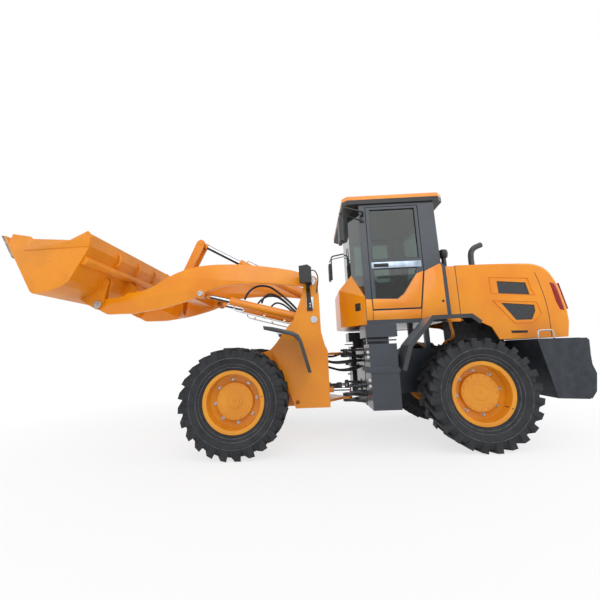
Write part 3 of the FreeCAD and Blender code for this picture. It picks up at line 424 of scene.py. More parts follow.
def line_mesh(curve):
    """What a curve looks like as a mesh, with the curve thrown away."""
    holder = bpy.data.objects.new("holder", curve)
    mesh = bpy.data.meshes.new_from_object(holder)
    bpy.data.objects.remove(holder)
    bpy.data.curves.remove(curve)
    return mesh


def pipe(points, radius, sides=3):
    """A round pipe or hose along a smooth line."""
    curve = smooth_line(points)
    curve.bevel_depth = radius * MM
    curve.bevel_resolution = sides
    curve.use_fill_caps = True
    mesh = line_mesh(curve)
    part = bmesh.new()
    part.from_mesh(mesh)
    bpy.data.meshes.remove(mesh)
    bmesh.ops.remove_doubles(part, verts=part.verts, dist=MERGE_DISTANCE)
    return part


def pour(part, shape, place=Matrix.Identity(4)):
    """Moves a finished part to its place and adds it to the piece's shape."""
    bmesh.ops.transform(part, matrix=place, verts=part.verts)
    carrier = bpy.data.meshes.new("carrier")
    part.to_mesh(carrier)
    part.free()
    shape.from_mesh(carrier)
    bpy.data.meshes.remove(carrier)


def facing(x, y, z, side=1):
    """The place of a part whose own Z looks outwards on one side of the machine."""
    return Matrix.Translation(spot(x, side * y, z)) @ Matrix.Rotation(-side * math.pi / 2, 4, "X")


def settle(shape, name, body, slot, finish=None, crease=35):
    """Makes the shape an object at the origin that rides on one body, if one is named."""
    bmesh.ops.remove_doubles(shape, verts=shape.verts, dist=MERGE_DISTANCE)
    bmesh.ops.recalc_face_normals(shape, faces=shape.faces)
    for face in shape.faces:
        face.smooth = True
    for edge in shape.edges:
        edge.smooth = edge.is_manifold and edge.calc_face_angle() < math.radians(crease)
    mesh = bpy.data.meshes.new(name)
    shape.to_mesh(mesh)
    shape.free()
    mesh.materials.append(finish or SLOT_FINISH[slot])
    piece = bpy.data.objects.new(name, mesh)
    bpy.context.scene.collection.objects.link(piece)
    if body:
        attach(piece, body)
    return piece


SIDES = {"left": 1, "right": -1}
print("tools ready, hinge at", HINGE_X)

# %% [markdown]
# ## Wheels
# Each wheel is held by eight zinc plated nuts on a ring between the dish and
# the hub. The planetary hub has a bolted cover with turned rings, and the tyre
# has moulded ribs on its sidewall. These are turned and repeated shapes, so a
# lathe profile and a ring of copies make them. The height of each rib comes
# from a ray cast on the tyre, so that it sits on the rubber.

# %% Nuts on the dish
WHEEL_PLACES = {"front": 1337, "rear": -1331}
WHEEL_Y, AXLE_Z = 800, 588
NUT_RING, NUT_COUNT, NUT_SEAT, NUT_TURN = 234, 8, 16, 0.12
NUT_ABOVE_SEAT = 3  # a nut stands on its washer, a little sunk in


def ring_of(make, shape, hub, radius, count, height, start=0.0):
    """Copies of a small part in a ring about the hub's axle."""
    for step in range(count):
        turn = Matrix.Rotation(start + math.tau * step / count, 4, "Z")
        pour(make(), shape, hub @ turn @ Matrix.Translation((radius * MM, 0, height * MM)))


def wheel_nuts(hub):
    """Nuts, their washers and the ends of the studs."""
    nuts = bmesh.new()
    ring_of(lambda: hexagon(27, 16, 1.5), nuts, hub, NUT_RING, NUT_COUNT, NUT_SEAT + NUT_ABOVE_SEAT, NUT_TURN)
    ring_of(lambda: disc(19, 4), nuts, hub, NUT_RING, NUT_COUNT, NUT_SEAT, NUT_TURN)
    ring_of(lambda: disc(9, 28, (2, 2), 12), nuts, hub, NUT_RING, NUT_COUNT, NUT_SEAT, NUT_TURN)
    return nuts


print("nuts on a ring of", NUT_RING, "mm")


# %% Hub cover and valve
COVER_RING, COVER_BOLTS, COVER_FACE, PLUG_FACE = 178, 16, 72, 79
COVER_RIDGES = (100, 128)
VALVE_TURN = {"rear": 2.6, "front": 3.3}
VALVE_ROUTE = [(0.288, 0, 0.07), (0.292, 0, 0.1), (0.297, 0, 0.135), (0.318, 0, 0.157)]  # metres from the hub
VALVE_RADIUS = 4.5


def hub_cover(hub):
    """The planetary's cover: bolts, two ridges, a cap and a drain plug."""
    cover = bmesh.new()
    ring_of(lambda: hexagon(13, 7, 0.8), cover, hub, COVER_RING, COVER_BOLTS, COVER_FACE)
    foot, top = COVER_FACE - 1, COVER_FACE + 1.5
    for radius in COVER_RIDGES:
        pour(turned([(foot, radius - 3), (top, radius - 2), (top, radius + 2), (foot, radius + 3),
                     (foot, radius - 3)], 48), cover, hub)
    pour(turned([(79, 0), (79, 58), (83, 54), (84, 30), (80, 26), (80, 0)], 40), cover, hub)
    pour(hexagon(19, 8, 1), cover, hub @ Matrix.Translation((0, 0, PLUG_FACE * MM)))
    return cover


def tyre_valve(hub, end):
    """The bent brass stem in its rubber sleeve."""
    valve = bmesh.new()
    place = hub @ Matrix.Rotation(VALVE_TURN[end], 4, "Z")
    pour(pipe([place @ Vector(point) for point in VALVE_ROUTE], VALVE_RADIUS), valve)
    return valve


print("cover bolts on a ring of", COVER_RING, "mm")


# %% Sidewall ribs
RIB_RADII = (372, 405, 470)
RIB_RISE, RIB_FOOT, RIB_TOP = 3, 5, 2.5
OUTSIDE_Y = 1200  # well outside the tyre, where the ray starts


def sidewall_ribs(hub, tyre, wheel_x, side):
    """Ribs about the sidewall, each at the height where a ray meets the rubber."""
    ribs = bmesh.new()
    for radius in RIB_RADII:
        hit = tyre.ray_cast(spot(wheel_x, side * OUTSIDE_Y, AXLE_Z + radius), Vector((0, -side, 0)))[1]
        wall = side * hit.y / MM - WHEEL_Y
        foot, top = wall - RIB_RISE, wall + RIB_RISE
        pour(turned([(foot, radius - RIB_FOOT), (top, radius - RIB_TOP), (top, radius + RIB_TOP),
                     (foot, radius + RIB_FOOT), (foot, radius - RIB_FOOT)], 72), ribs, hub)
    return ribs


print("ribs at", RIB_RADII)


# %% Fit the wheels
for end, wheel_x in WHEEL_PLACES.items():
    for side_name, side in SIDES.items():
        wheel = f"{end}_{side_name}"
        body = f"wheel_{wheel}"
        hub = facing(wheel_x, WHEEL_Y, AXLE_Z, side)
        settle(wheel_nuts(hub), f"wheel_nuts_{wheel}", body, "chrome", zinc_plate)
        settle(hub_cover(hub), f"hub_cover_{wheel}", body, "rim_paint")
        settle(tyre_valve(hub, end), f"tyre_valve_{wheel}", body, "black_plastic")
        ribs = sidewall_ribs(hub, frame["nodes"][f"tyre_{wheel}"], wheel_x, side)
        settle(ribs, f"sidewall_ribs_{wheel}", body, "tyre_rubber", rib_rubber)
print("four wheels fitted,", NUT_COUNT, "nuts each")

# %% [markdown]
# ## Cab skins
# The lower cab wears yellow outer skins over the slate frame. The seams are
# the frame showing between them, so each skin is its own plate with rolled
# edges and a gap of some millimetres round it. The door's skin rides with it.

# %% Side skins
SKIN, CAB_SIDE_Y = 3, 700
DOOR_SKIN = [(-296, 1566), (-296, 1690), (-594, 1678), (-675, 1737), (-843, 1980), (-927, 2010), (-857, 1566)]
SILL_SKIN = [(-291, 1434), (-291, 1546), (-862, 1546), (-845, 1434)]
PILLAR_SKIN = [(-211, 1434), (-211, 1692), (-284, 1684), (-284, 1434)]
QUARTER_SKIN = [(-853, 1434), (-873, 1550), (-946, 2006), (-1128, 2090), (-1146, 2086), (-1157, 2056),
                (-1160, 1434)]

skins = bmesh.new()
for side in SIDES.values():
    for outline in (SILL_SKIN, PILLAR_SKIN, QUARTER_SKIN):
        pour(plate(outline, side * CAB_SIDE_Y, SKIN), skins)
pour(plate(DOOR_SKIN, -CAB_SIDE_Y, SKIN), skins)
settle(skins, "cab_outer_skins", "rear_frame", "body_paint")
door_skin = bmesh.new()
pour(plate(DOOR_SKIN, CAB_SIDE_Y, SKIN), door_skin)
settle(door_skin, "door_outer_skin", "door", "body_paint")
print("skins fitted")

# %% [markdown]
# ## Door rail, handle and seals
# A bright rail crosses the door between its two panes and carries an oval
# pull. Each pane sits in a black rubber seal. The rail is a rolled strip, the
# pull is a dished oval, and the seals are bands that follow the panes.

# %% Bright trim finish
# Anodised aluminium: a pale metal whose etched skin spreads its shine.
anodised_trim, shader, place = start_material("anodised_aluminium_trim", 0.32, 0.9)
colour_by_noise(anodised_trim, shader, place, 150, "#8FA0B2", "#C9D6E2")
print("trim", anodised_trim.name)

# %% Rail, pull and seals
UPPER_PANE = [(-335, 2183), (-335, 2830), (-895, 2830), (-895, 2183)]
LOWER_PANE = [(-335, 2060), (-335, 1700), (-591, 1687), (-668, 1744), (-834, 1983), (-860, 2060)]
RAIL = [(-312, 2066), (-312, 2142), (-915, 2142), (-915, 2066)]
SEAL_THICKNESS, SEAL_BAND = 4, 13
rail = bmesh.new()
pour(plate(RAIL, CAB_SIDE_Y, 3, 1.4), rail)
settle(rail, "door_rail", "door", "chrome", anodised_trim)
pull = bmesh.new()
pour(bar(182, 12, 46, 5.5, 4), pull, stand(-428, CAB_SIDE_Y + 4, 2102))
pour(bar(120, 8, 16, 3, 3), pull, stand(-420, CAB_SIDE_Y + 13, 2104))
pour(disc(9, 7), pull, facing(-497, CAB_SIDE_Y + 9, 2102))
settle(pull, "door_pull", "door", "black_plastic")
for side_name, side in SIDES.items():
    seals = bmesh.new()
    for outline in (UPPER_PANE, LOWER_PANE):
        pour(surround(outline, side * (CAB_SIDE_Y - 1), SEAL_THICKNESS, SEAL_BAND), seals)
    body = "door" if side_name == "left" else "rear_frame"
    settle(seals, f"side_pane_seals_{side_name}", body, "black_plastic", hose_rubber)
print("rail, pull and seals fitted")

# %% [markdown]
# ## Rounded sheet metal
# Pressed hoods, roofs and guards have bends with a real radius, and cast
# blocks have drafted corners. A copy of the node is cleaned to whole flat
# faces and the bends that a hand would feel are bevelled wide, which keeps
# every size of the node and changes only its corners. The copy replaces it.

# %% Bend a node's corners
NODE_MERGE_DISTANCE = 1e-5  # metres
FLAT_ANGLE = 0.01           # radians between triangles of one flat face
BEND_ANGLE = 0.12           # radians; a corner sharper than this may be bent


def planed(node):
    """A copy of a node whose loose triangles are joined to whole flat faces."""
    part = bmesh.new()
    part.from_mesh(frame["nodes"][node].data)
    bmesh.ops.remove_doubles(part, verts=part.verts, dist=NODE_MERGE_DISTANCE)
    bmesh.ops.dissolve_limit(part, angle_limit=FLAT_ANGLE, verts=part.verts, edges=part.edges)
    return part


def bend(part, radius, chosen, segments=5):
    """Bevels the corners whose middle, in millimetres from the pin, is chosen."""
    corners = []
    for edge in part.edges:
        middle = (edge.verts[0].co + edge.verts[1].co) / 2 / MM
        if edge.is_manifold and edge.calc_face_angle() > BEND_ANGLE:
            if chosen(middle.x - HINGE_X, abs(middle.y), middle.z):
                corners.append(edge)
    bmesh.ops.bevel(part, geom=corners, offset=radius * MM, offset_type="OFFSET", segments=segments,
                    profile=0.5, affect="EDGES", clamp_overlap=True, material=-1)
    return part


def stand_in(part, node, body, name):
    """Settles a part that takes the place of a node."""
    piece = settle(part, name, body, slot_of_node[node])
    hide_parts(node)
    print(name, "stands for", node)
    return piece


# %% Hood, cowl and counterweight
# The hood's tail rolls down across the middle, and its flanks roll inwards
# except beside the vents. Each side of the counterweight has a raised cheek.
VENT_X, VENT_REACH = -2030, 240
hood = planed("hood_shell")
bend(hood, 70, lambda x, y, z: y < 5 and z > 1500 and x < -2300)
bend(hood, 34, lambda x, y, z: (y > 590 and (z > 1500 or x < -2560) and x < -1370
                                and abs(x - VENT_X) > VENT_REACH))
hood_sheet = stand_in(hood, "hood_shell", "hood", "hood_sheet")
cowl = planed("bonnet_cowl")
bend(cowl, 40, lambda x, y, z: y > 590 and z > 2050)
stand_in(cowl, "bonnet_cowl", "rear_frame", "cowl_sheet")
ballast = planed("counterweight")
bend(ballast, 45, lambda x, y, z: y > 800 and x < -2440)
bend(ballast, 8, lambda x, y, z: y < 5 and x < -2030)
CHEEK = [(-2320, 1134), (-2534, 1131), (-2556, 1106), (-2541, 935), (-2541, 845), (-2570, 752), (-2533, 565),
         (-2475, 494), (-2320, 498)]
CHEEK_INNER_Y, CHEEK_WIDTH = 790, 110.5
for side in SIDES.values():
    cheek = plate(CHEEK, side * CHEEK_INNER_Y, CHEEK_WIDTH, 2)
    bend(cheek, 24, lambda x, y, z: y > 895 and x < -2420)
    pour(cheek, ballast)
stand_in(ballast, "counterweight", "rear_frame", "counterweight_casting")

# %% Roof with a black underside
ROOF_SEAM_Z = 2962
roof = planed("cab_roof")
bend(roof, 36, lambda x, y, z: z > 3000, 4)
bmesh.ops.bisect_plane(roof, geom=roof.verts[:] + roof.edges[:] + roof.faces[:], dist=MERGE_DISTANCE,
                       plane_co=(0, 0, ROOF_SEAM_Z * MM), plane_no=(0, 0, 1))
for face in roof.faces:
    face.material_index = int(face.calc_center_median().z < ROOF_SEAM_Z * MM)
roof_panel = stand_in(roof, "cab_roof", "rear_frame", "roof_panel")
roof_panel.data.materials.append(moulded_black)

# %% Rear wheel guards
guards = planed("mudguards_rear")
bend(guards, 40, lambda x, y, z: 700 < y < 960 and z > 900)
stand_in(guards, "mudguards_rear", "rear_frame", "wheel_guards_rear")

# %% Front wheel guards
# A bent sheet with a deep rolled lip on its outer edge, on two stays.
GUARD_TOP = [(1014, 1406), (900, 1390), (668, 1330), (604, 1290), (572, 1220), (477, 866)]
GUARD_UNDER = [(482, 866), (577, 1218), (608, 1286), (670, 1325), (901, 1385), (1014, 1401)]
LIP_UNDER = [(516, 861), (606, 1198), (630, 1242), (684, 1280), (906, 1338), (1004, 1362)]
GUARD_INNER_Y, GUARD_WIDTH = 602, 255
front_guards = bmesh.new()
for side in SIDES.values():
    pour(plate(GUARD_TOP + GUARD_UNDER, side * GUARD_INNER_Y, GUARD_WIDTH, 0.8), front_guards)
    pour(plate(GUARD_TOP + LIP_UNDER, side * (GUARD_INNER_Y + GUARD_WIDTH - 3), 5), front_guards)
    for x, z in ((640, 1262), (560, 1080)):
        pour(bar(46, 90, 12, 2), front_guards, stand(x, side * 570, z))
    pour(bar(12, 12, 200, 2), front_guards, stand(600, side * 612, 1170, 0.3))
stand_in(front_guards, "mudguards_front", "front_frame", "wheel_guards_front")

# %% [markdown]
# ## Boom arms
# The two arms are flame-cut from 40 mm plate along one sweeping curve. The
# outline's long corners are rounded widely before the plate gets its
# thickness, and the bosses for the pins are turned and set on the plate.

# %% Cut the arms
BELLY = [(2757, 1669), (2371, 1717), (1987, 1816), (1666, 1965), (1343, 1995), (1060, 1990), (766, 1960)]
BACK = [(697, 2151), (953, 2203), (1342, 2259), (1734, 2274), (1996, 2246), (2233, 2172), (2516, 2007),
        (2645, 1960)]
HEEL = [(435, 1910), (365, 1925), (355, 2030), (430, 2070)]
TOE = [(2775, 1943), (2829, 1948), (2905, 1893), (3020, 1880), (3201, 1873), (3270, 1840), (3270, 1762),
       (3201, 1731), (3095, 1671)]
ARM_INNER_Y, ARM_PLATE = 460, 40
LONG_CURVE, END_CURVE = 118, 22  # how far each curve reaches from its corner
ARM_BOSSES = [(1874, 496, 1892), (3201, 494, 1799)]
BOSS_RADIUS = 62

arms = bmesh.new()
for side in SIDES.values():
    arm = bmesh.new()
    corners = {(x, z): arm.verts.new(spot(x, side * ARM_INNER_Y, z)) for x, z in BELLY + HEEL + BACK + TOE}
    arm.faces.new(list(corners.values()))
    for group, reach in ((BELLY[1:-1] + BACK[1:-2], LONG_CURVE), (HEEL + TOE, END_CURVE)):
        bmesh.ops.bevel(arm, geom=[corners[point] for point in group], offset=reach * MM, offset_type="OFFSET",
                        segments=8, profile=0.5, affect="VERTICES", clamp_overlap=True, material=-1)
    pour(ease(thicken(arm, side * ARM_INNER_Y, ARM_PLATE), 3), arms)
    for x, y, z in ARM_BOSSES:
        boss = turned([(-20, 0), (-20, BOSS_RADIUS), (4, BOSS_RADIUS), (7, BOSS_RADIUS - 4), (7, 0), (-20, 0)], 40)
        pour(boss, arms, facing(x, y, z, side))
stand_in(arms, "boom_arms", "boom", "boom_arm_plates")
print("arms cut")

# %% Exhaust, pre-cleaner and side lenses
# The exhaust is one tube in a smooth sweep. The pre-cleaner's bowl sits on a
# longer neck, close behind the cab, and a red lens wraps round each tail lamp.
SWEEP = [(-1844, 2082), (-1844, 2230), (-1845, 2340), (-1860, 2405), (-1894, 2450), (-1944, 2478), (-2008, 2500)]
EXHAUST_Y, EXHAUST_RADIUS = 100, 38
exhaust = pipe([spot(x, EXHAUST_Y, z) for x, z in SWEEP], EXHAUST_RADIUS, 6)
stand_in(exhaust, "exhaust_stack", "hood", "exhaust_sweep")
NECK_TOP, BOWL_FOOT, BOWL_SQUASH, BOWL_BACK = 2159, 2236, 0.616, 58
bowl = planed("precleaner")
for vertex in bowl.verts:
    vertex.co.x -= BOWL_BACK * MM
    if vertex.co.z > NECK_TOP * MM:
        vertex.co.z = (BOWL_FOOT + (vertex.co.z / MM - NECK_TOP) * BOWL_SQUASH) * MM
stand_in(bowl, "precleaner", "rear_frame", "air_precleaner")
SIDE_LENS = [(-2475, 1819), (-2527, 1804), (-2549, 1743), (-2595, 1470), (-2547, 1482), (-2514, 1580),
             (-2494, 1715)]
LENS_INNER_Y, LENS_THICKNESS = 596, 8
lenses = bmesh.new()
for side in SIDES.values():
    pour(plate(SIDE_LENS, side * LENS_INNER_Y, LENS_THICKNESS, 2.5), lenses)
settle(lenses, "tail_side_lenses", "hood", "red_lens")
print("exhaust swept, bowl and lenses set")

# %% [markdown]
# ## Pressed rims
# The rim is a rolled barrel with a thick lock ring at its lip, a flat ring
# for the nuts and a deep hub in the middle. It is one lathe profile, closed
# on itself, spun about the wheel's axle.

# %% Spin the rims
BARREL, FLANGE = 305, 337
RIM_PROFILE = [(-146, BARREL - 12), (-154, FLANGE), (-146, FLANGE), (-130, BARREL), (130, BARREL), (146, FLANGE),
               (151, FLANGE), (154, FLANGE - 3), (154, FLANGE - 14), (149, BARREL - 4), (146, BARREL - 10),
               (120, BARREL - 13), (26, BARREL - 14), (18, BARREL - 20), (16, 262), (16, 208), (18, 205), (64, 203),
               (70, 199), (72, 190), (72, 84), (79, 76), (79, 0)]
RIM_BACK = [(-236, 0), (-236, 128), (-232, 132), (-20, 160), (0, 200), (0, 262), (4, BARREL - 16),
            (-146, BARREL - 12)]
for end, wheel_x in WHEEL_PLACES.items():
    for side_name, side in SIDES.items():
        rim = bmesh.new()
        pour(turned(RIM_PROFILE + RIM_BACK, 72), rim, facing(wheel_x, WHEEL_Y, AXLE_Z, side))
        stand_in(rim, f"rim_{end}_{side_name}", f"wheel_{end}_{side_name}", f"pressed_rim_{end}_{side_name}")
print("rims spun")

# %% [markdown]
# ## Hood details
# Rubber seals fill the gaps between cab, cowl and hood. A joint line runs
# round the tail, pressed ridges frame the two vents on each flank, and a
# long finger slot with a latch sits below them. The ridges and seals are
# closed bands and strips that follow those lines.

# %% Seals, ridges and latch
HOOD_SIDE_Y = 600
TAIL_LINE = [(-2243, 2073), (-2308, 1978), (-2345, 1856), (-2382, 1675), (-2404, 1478), (-2399, 1248),
             (-2390, 1156)]
UPPER_RIDGE = [(-1758, 1914), (-2217, 1882), (-2236, 1761), (-2278, 1670), (-1760, 1716)]
LOWER_RIDGE = [(-1764, 1622), (-2283, 1585), (-2317, 1444), (-2208, 1340), (-1985, 1340)]
RIDGE_RISE, RIDGE_BAND, RIDGE_CORNER = 9, 24, 5
SEAL_PLACES, SEAL_TOP, SEAL_RADIUS, LINE_RADIUS = (-1362, -1154), 2087, 5, 3.5
SEAL_BEND = [(597, 1440), (597, 1750), (597, 2040), (586, 2080), (540, SEAL_TOP), (500, SEAL_TOP)]
hood_lines, hood_ridges, cab_seals = bmesh.new(), bmesh.new(), bmesh.new()
for side in SIDES.values():
    line = [spot(x, side * (HOOD_SIDE_Y - 1 if z < 2050 else 575), z) for x, z in TAIL_LINE]
    pour(pipe(line, LINE_RADIUS), hood_lines)
    for outline in (UPPER_RIDGE, LOWER_RIDGE):
        pour(surround(outline, side * (HOOD_SIDE_Y - 2), RIDGE_RISE, RIDGE_BAND, RIDGE_CORNER), hood_ridges)
    for x in SEAL_PLACES:
        pour(pipe([spot(x, side * y, z) for y, z in SEAL_BEND], SEAL_RADIUS), cab_seals)
for x in SEAL_PLACES:
    pour(pipe([spot(x, y, SEAL_TOP) for y in (-500, 0, 500)], SEAL_RADIUS), cab_seals)
pour(pipe([spot(-2243, y, 2074) for y in (-575, 0, 575)], LINE_RADIUS), hood_lines)
settle(hood_lines, "hood_joint_lines", "hood", "black_plastic")
settle(hood_ridges, "hood_pressed_ridges", "hood", "body_paint")
settle(cab_seals, "bonnet_seals", "rear_frame", "black_plastic", hose_rubber)
SLOT = [(-1929, 1252), (-2130, 1246), (-2116, 1219), (-1934, 1221)]
slots, latches = bmesh.new(), bmesh.new()
for side in SIDES.values():
    pour(plate(SLOT, side * (HOOD_SIDE_Y - 1), 3, 1.4), slots)
    pour(bar(150, 5, 7, 2), slots, stand(-2030, side * (HOOD_SIDE_Y + 3), 1236))
    latch = turned([(0, 0), (0, 15), (4, 15), (6, 12), (6, 7), (3, 6), (3, 0)], 24)
    pour(latch, latches, facing(-1126, 702, 1630, side))
settle(slots, "hood_finger_slots", "hood", "black_plastic")
settle(latches, "quarter_panel_latches", "rear_frame", "black_plastic")
print("hood trimmed")

# %% Expanded metal in the vents
# Galvanised mesh sprayed black: diamonds of light wire, with painted shade in the holes, near black as the shade
# behind the mesh, so the vent reads as depth. The pitch is the real one, in millimetres.
MESH_PITCH = 14
vent_mesh, shader, place = start_material("expanded_metal_mesh", 0.6, 0.3)
cells = add_node(vent_mesh, "ShaderNodeTexVoronoi", {"Scale": 1 / (MESH_PITCH * MM), "Randomness": 0.15},
                 {"Vector": place})
shade = add_node(vent_mesh, "ShaderNodeValToRGB", links={"Fac": cells.outputs["Distance"]})
# The low end of the ramp is the painted shade in the holes, and the high end is the wire.
for element, position, colour in zip(shade.color_ramp.elements, (0.3, 0.55), ("#0B0B0C", "#47494C")):
    element.position, element.color = position, linear(colour)
vent_mesh.node_tree.links.new(shade.outputs["Color"], shader.inputs["Base Color"])
hole = add_node(vent_mesh, "ShaderNodeBump", {"Strength": 0.8, "Distance": 2 * MM},
                {"Height": cells.outputs["Distance"]})
vent_mesh.node_tree.links.new(hole.outputs["Normal"], shader.inputs["Normal"])
dress("hood_grilles", vent_mesh)
print("vents meshed")

# %% [markdown]
# ## Tail grille and handles
# The cooling air leaves through a louvred panel on the tail. The slats lie on
# the tail's slope, which a ray cast finds. A bent rod on each corner of the
# counterweight is the hand hold for climbing to the hood.

# %% Louvres
LOUVRE_LEVELS = range(1240, 1480, 24)
END_STRIP_Y, END_STRIP_LEVELS = 390, (1280, 1380)
BEHIND_X = -4000  # well behind the tail, where the rays start


def on_tail(level, y, proud):
    """The place on the tail at one level, some millimetres proud of the sheet."""
    hit = hood_sheet.ray_cast(spot(BEHIND_X, 0, level), Vector((1, 0, 0)))[1]
    return Matrix.Translation(hit + Vector((-proud * MM, y * MM, 0)))


bpy.context.view_layer.update()
louvres = bmesh.new()
for level in LOUVRE_LEVELS:
    pour(bar(8, 760, 12, 2.5), louvres, on_tail(level, 0, 1))
for y in (-END_STRIP_Y, END_STRIP_Y):
    for level in END_STRIP_LEVELS:
        pour(bar(7, 26, 150, 2.5), louvres, on_tail(level, y, 0.5))
settle(louvres, "tail_louvres", "hood", "black_plastic")
print(len(LOUVRE_LEVELS), "louvres")

# %% Hand holds
HAND_HOLD = [(-2089, 1130), (-2091, 1190), (-2100, 1228), (-2140, 1233), (-2215, 1233), (-2255, 1228), (-2263, 1190),
             (-2265, 1130)]
HOLD_Y, HOLD_RADIUS = 800, 9
holds = bmesh.new()
for side in SIDES.values():
    pour(pipe([spot(x, side * HOLD_Y, z) for x, z in HAND_HOLD], HOLD_RADIUS), holds)
settle(holds, "counterweight_hand_holds", "rear_frame", "chrome", zinc_plate)
print("tail finished")

# %% [markdown]
# ## Hydraulics
# Each lift cylinder is fed by two hoses from the tower and carries a steel pipe to its far port. Hoses are smooth
# sagging lines of rubber, so they are drawn as NURBS routes. A hose whose ends sit on two bodies rides on neither of
# them.

# %% Lift hoses and pipes
HOSE_RADIUS = 14


def hose(name, start_body, end_body, route, slot="black_plastic"):
    """A hose from one body to another; it gives back its measured length."""
    points = [spot(*point) for point in route]
    line = line_mesh(smooth_line(points))
    path = [tuple(vertex.co) for vertex in line.vertices]
    bpy.data.meshes.remove(line)
    length = sum((Vector(b) - Vector(a)).length for a, b in zip(path, path[1:]))
    shape = bmesh.new()
    pour(pipe(points, HOSE_RADIUS, 4), shape)
    crosses = end_body != start_body
    piece = settle(shape, name, None if crosses else start_body, slot, hose_rubber)
    if crosses:
        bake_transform(piece)
    return length


LIFT_HOSES = [
    [(612, 312, 1620), (668, 314, 1692), (745, 318, 1775), (870, 325, 1889), (930, 332, 1935), (1000, 370, 1975),
     (1138, 403, 1985), (1248, 416, 1918), (1300, 418, 1842), (1312, 416, 1800)],
    [(628, 312, 1575), (676, 314, 1640), (770, 318, 1748), (835, 325, 1805), (905, 350, 1850), (985, 384, 1872),
     (1050, 398, 1835), (1085, 400, 1782), (1092, 400, 1745)]]
PIPE_ROUTE = [(1448, 1718), (1452, 1690), (1435, 1662), (1380, 1642), (1100, 1563), (780, 1472), (735, 1460),
              (700, 1472)]
PIPE_RADIUS = 9
BARREL_SLOPE = -0.28  # radians between the lift barrel and level
hose_lengths = {}
for side_name, side in SIDES.items():
    for number, route in enumerate(LIFT_HOSES):
        name = f"lift_hose_{number + 1}_{side_name}"
        hose_lengths[name] = hose(name, "front_frame", "lift_barrels", [(x, side * y, z) for x, y, z in route])
    pipes = bmesh.new()
    pour(pipe([spot(x, side * 436, z) for x, z in PIPE_ROUTE], PIPE_RADIUS), pipes)
    for x, z in ((1330, 1640), (1060, 1563), (800, 1490)):
        pour(bar(26, 30, 44, 4), pipes, stand(x, side * 434, z, BARREL_SLOPE))
        pour(hexagon(13, 8), pipes, facing(x, 449, z, side))
    settle(pipes, f"lift_pipe_{side_name}", "lift_barrels", "chrome", zinc_plate)
print({name: round(length, 3) for name, length in hose_lengths.items()})

# %% Rod ends and the tilt pipe
# The forged rod ends are painted. A steel pipe feeds the tilt barrel's head.
# A rod end has its body, the side view of its eye and of its barrel's foot,
# its levels across the machine, the reach from the eye where the paint
# starts and stops, and a radius just over the rod's own.
ROD_ENDS = [("lift_rods", (1874, 1892), (420, 1490), (400, -400), (48, 110), 34),
            ("tilt_rod", (2029, 2742), (420, 1825), (0,), (54, 100), 40)]
for body, eye_at, base_at, levels, span, radius in ROD_ENDS:
    eye_at, base_at = Vector(eye_at), Vector(base_at)
    towards = (base_at - eye_at).normalized()
    ends = bmesh.new()
    for y in levels:
        line = [eye_at + towards * reach for reach in (span[0], sum(span) / 2, span[1])]
        pour(pipe([spot(x, y, z) for x, z in line], radius), ends)
    settle(ends, f"{body}_painted_ends", body, "body_paint", yellow_enamel)
TILT_BASE, TILT_ALONG, TILT_UP = Vector((420, 1825)), Vector((0.869, 0.495)), Vector((-0.495, 0.869))
TILT_PIPE = [(1120, 56), (1119, 76), (1104, 90), (1080, 93), (800, 92), (520, 92), (496, 89), (481, 76), (480, 56)]
feed = bmesh.new()
on_barrel = [TILT_BASE + TILT_ALONG * run + TILT_UP * rise for run, rise in TILT_PIPE]
pour(pipe([spot(at.x, 0, at.y) for at in on_barrel], PIPE_RADIUS), feed)
settle(feed, "tilt_pipe", "tilt_barrel", "chrome", zinc_plate)
print("rod ends and tilt pipe fitted")

# %% Pin caps
# Hardened pins end in a flanged cap with one keeper bolt and a grease nipple.
PIN_CAPS = {"boom": [(1874, 507, 1892, 36)], "bucket": [(3201, 536, 1799, 50)],
            "front_frame": [(435, 530, 1985, 58), (420, 530, 1490, 44)]}
KEEPER_OUT = 0.7  # of the cap's radius
for body, pins in PIN_CAPS.items():
    caps = bmesh.new()
    for x, y, z, radius in pins:
        for side in SIDES.values():
            cap = turned([(0, 0), (0, radius), (8, radius), (10, radius - 2), (10, radius * 0.45), (7, radius * 0.4),
                          (7, 0), (0, 0)], 40)
            pour(cap, caps, facing(x, y, z, side))
            keeper = facing(x, y + 9, z, side) @ Matrix.Translation((radius * KEEPER_OUT * MM, 0, 0))
            pour(hexagon(17, 9), caps, keeper)
            nipple = turned([(0, 0), (0, 4), (9, 4), (11, 2.5), (14, 3.5), (16, 0)], 12)
            pour(nipple, caps, facing(x, y + 7, z, side))
    settle(caps, f"pin_caps_{body}", body, "chrome", zinc_plate)
print("hydraulics and pins fitted")

# %% [markdown]
# ## Seat
# The driver's seat is moulded foam under embossed vinyl. Each pad starts as a
# rounded block a little smaller than its space. A cloth solver inflates the
# cover, so it crowns in the middle and pulls in at the corners, and the sewn
# channels are pressed in afterwards, because the cover's remesh would lose
# them. A moulded shell under the backrest and two arm rests carry the pads.

# %% Stuffing a pad
VOXEL, PAD_CORNER = 0.006, 26
PAD_PRESSURE, PAD_FRAMES, SWELL_LIMIT = 4, 20, 0.013
CHANNEL_DEPTH, CHANNEL_WIDTH = 0.007, 0.007


def worked_in(piece):
    """Makes the mesh what its modifiers show, and clears them."""
    bpy.context.view_layer.update()
    mesh = bpy.data.meshes.new_from_object(piece.evaluated_get(bpy.context.evaluated_depsgraph_get()))
    piece.modifiers.clear()
    piece.data = mesh


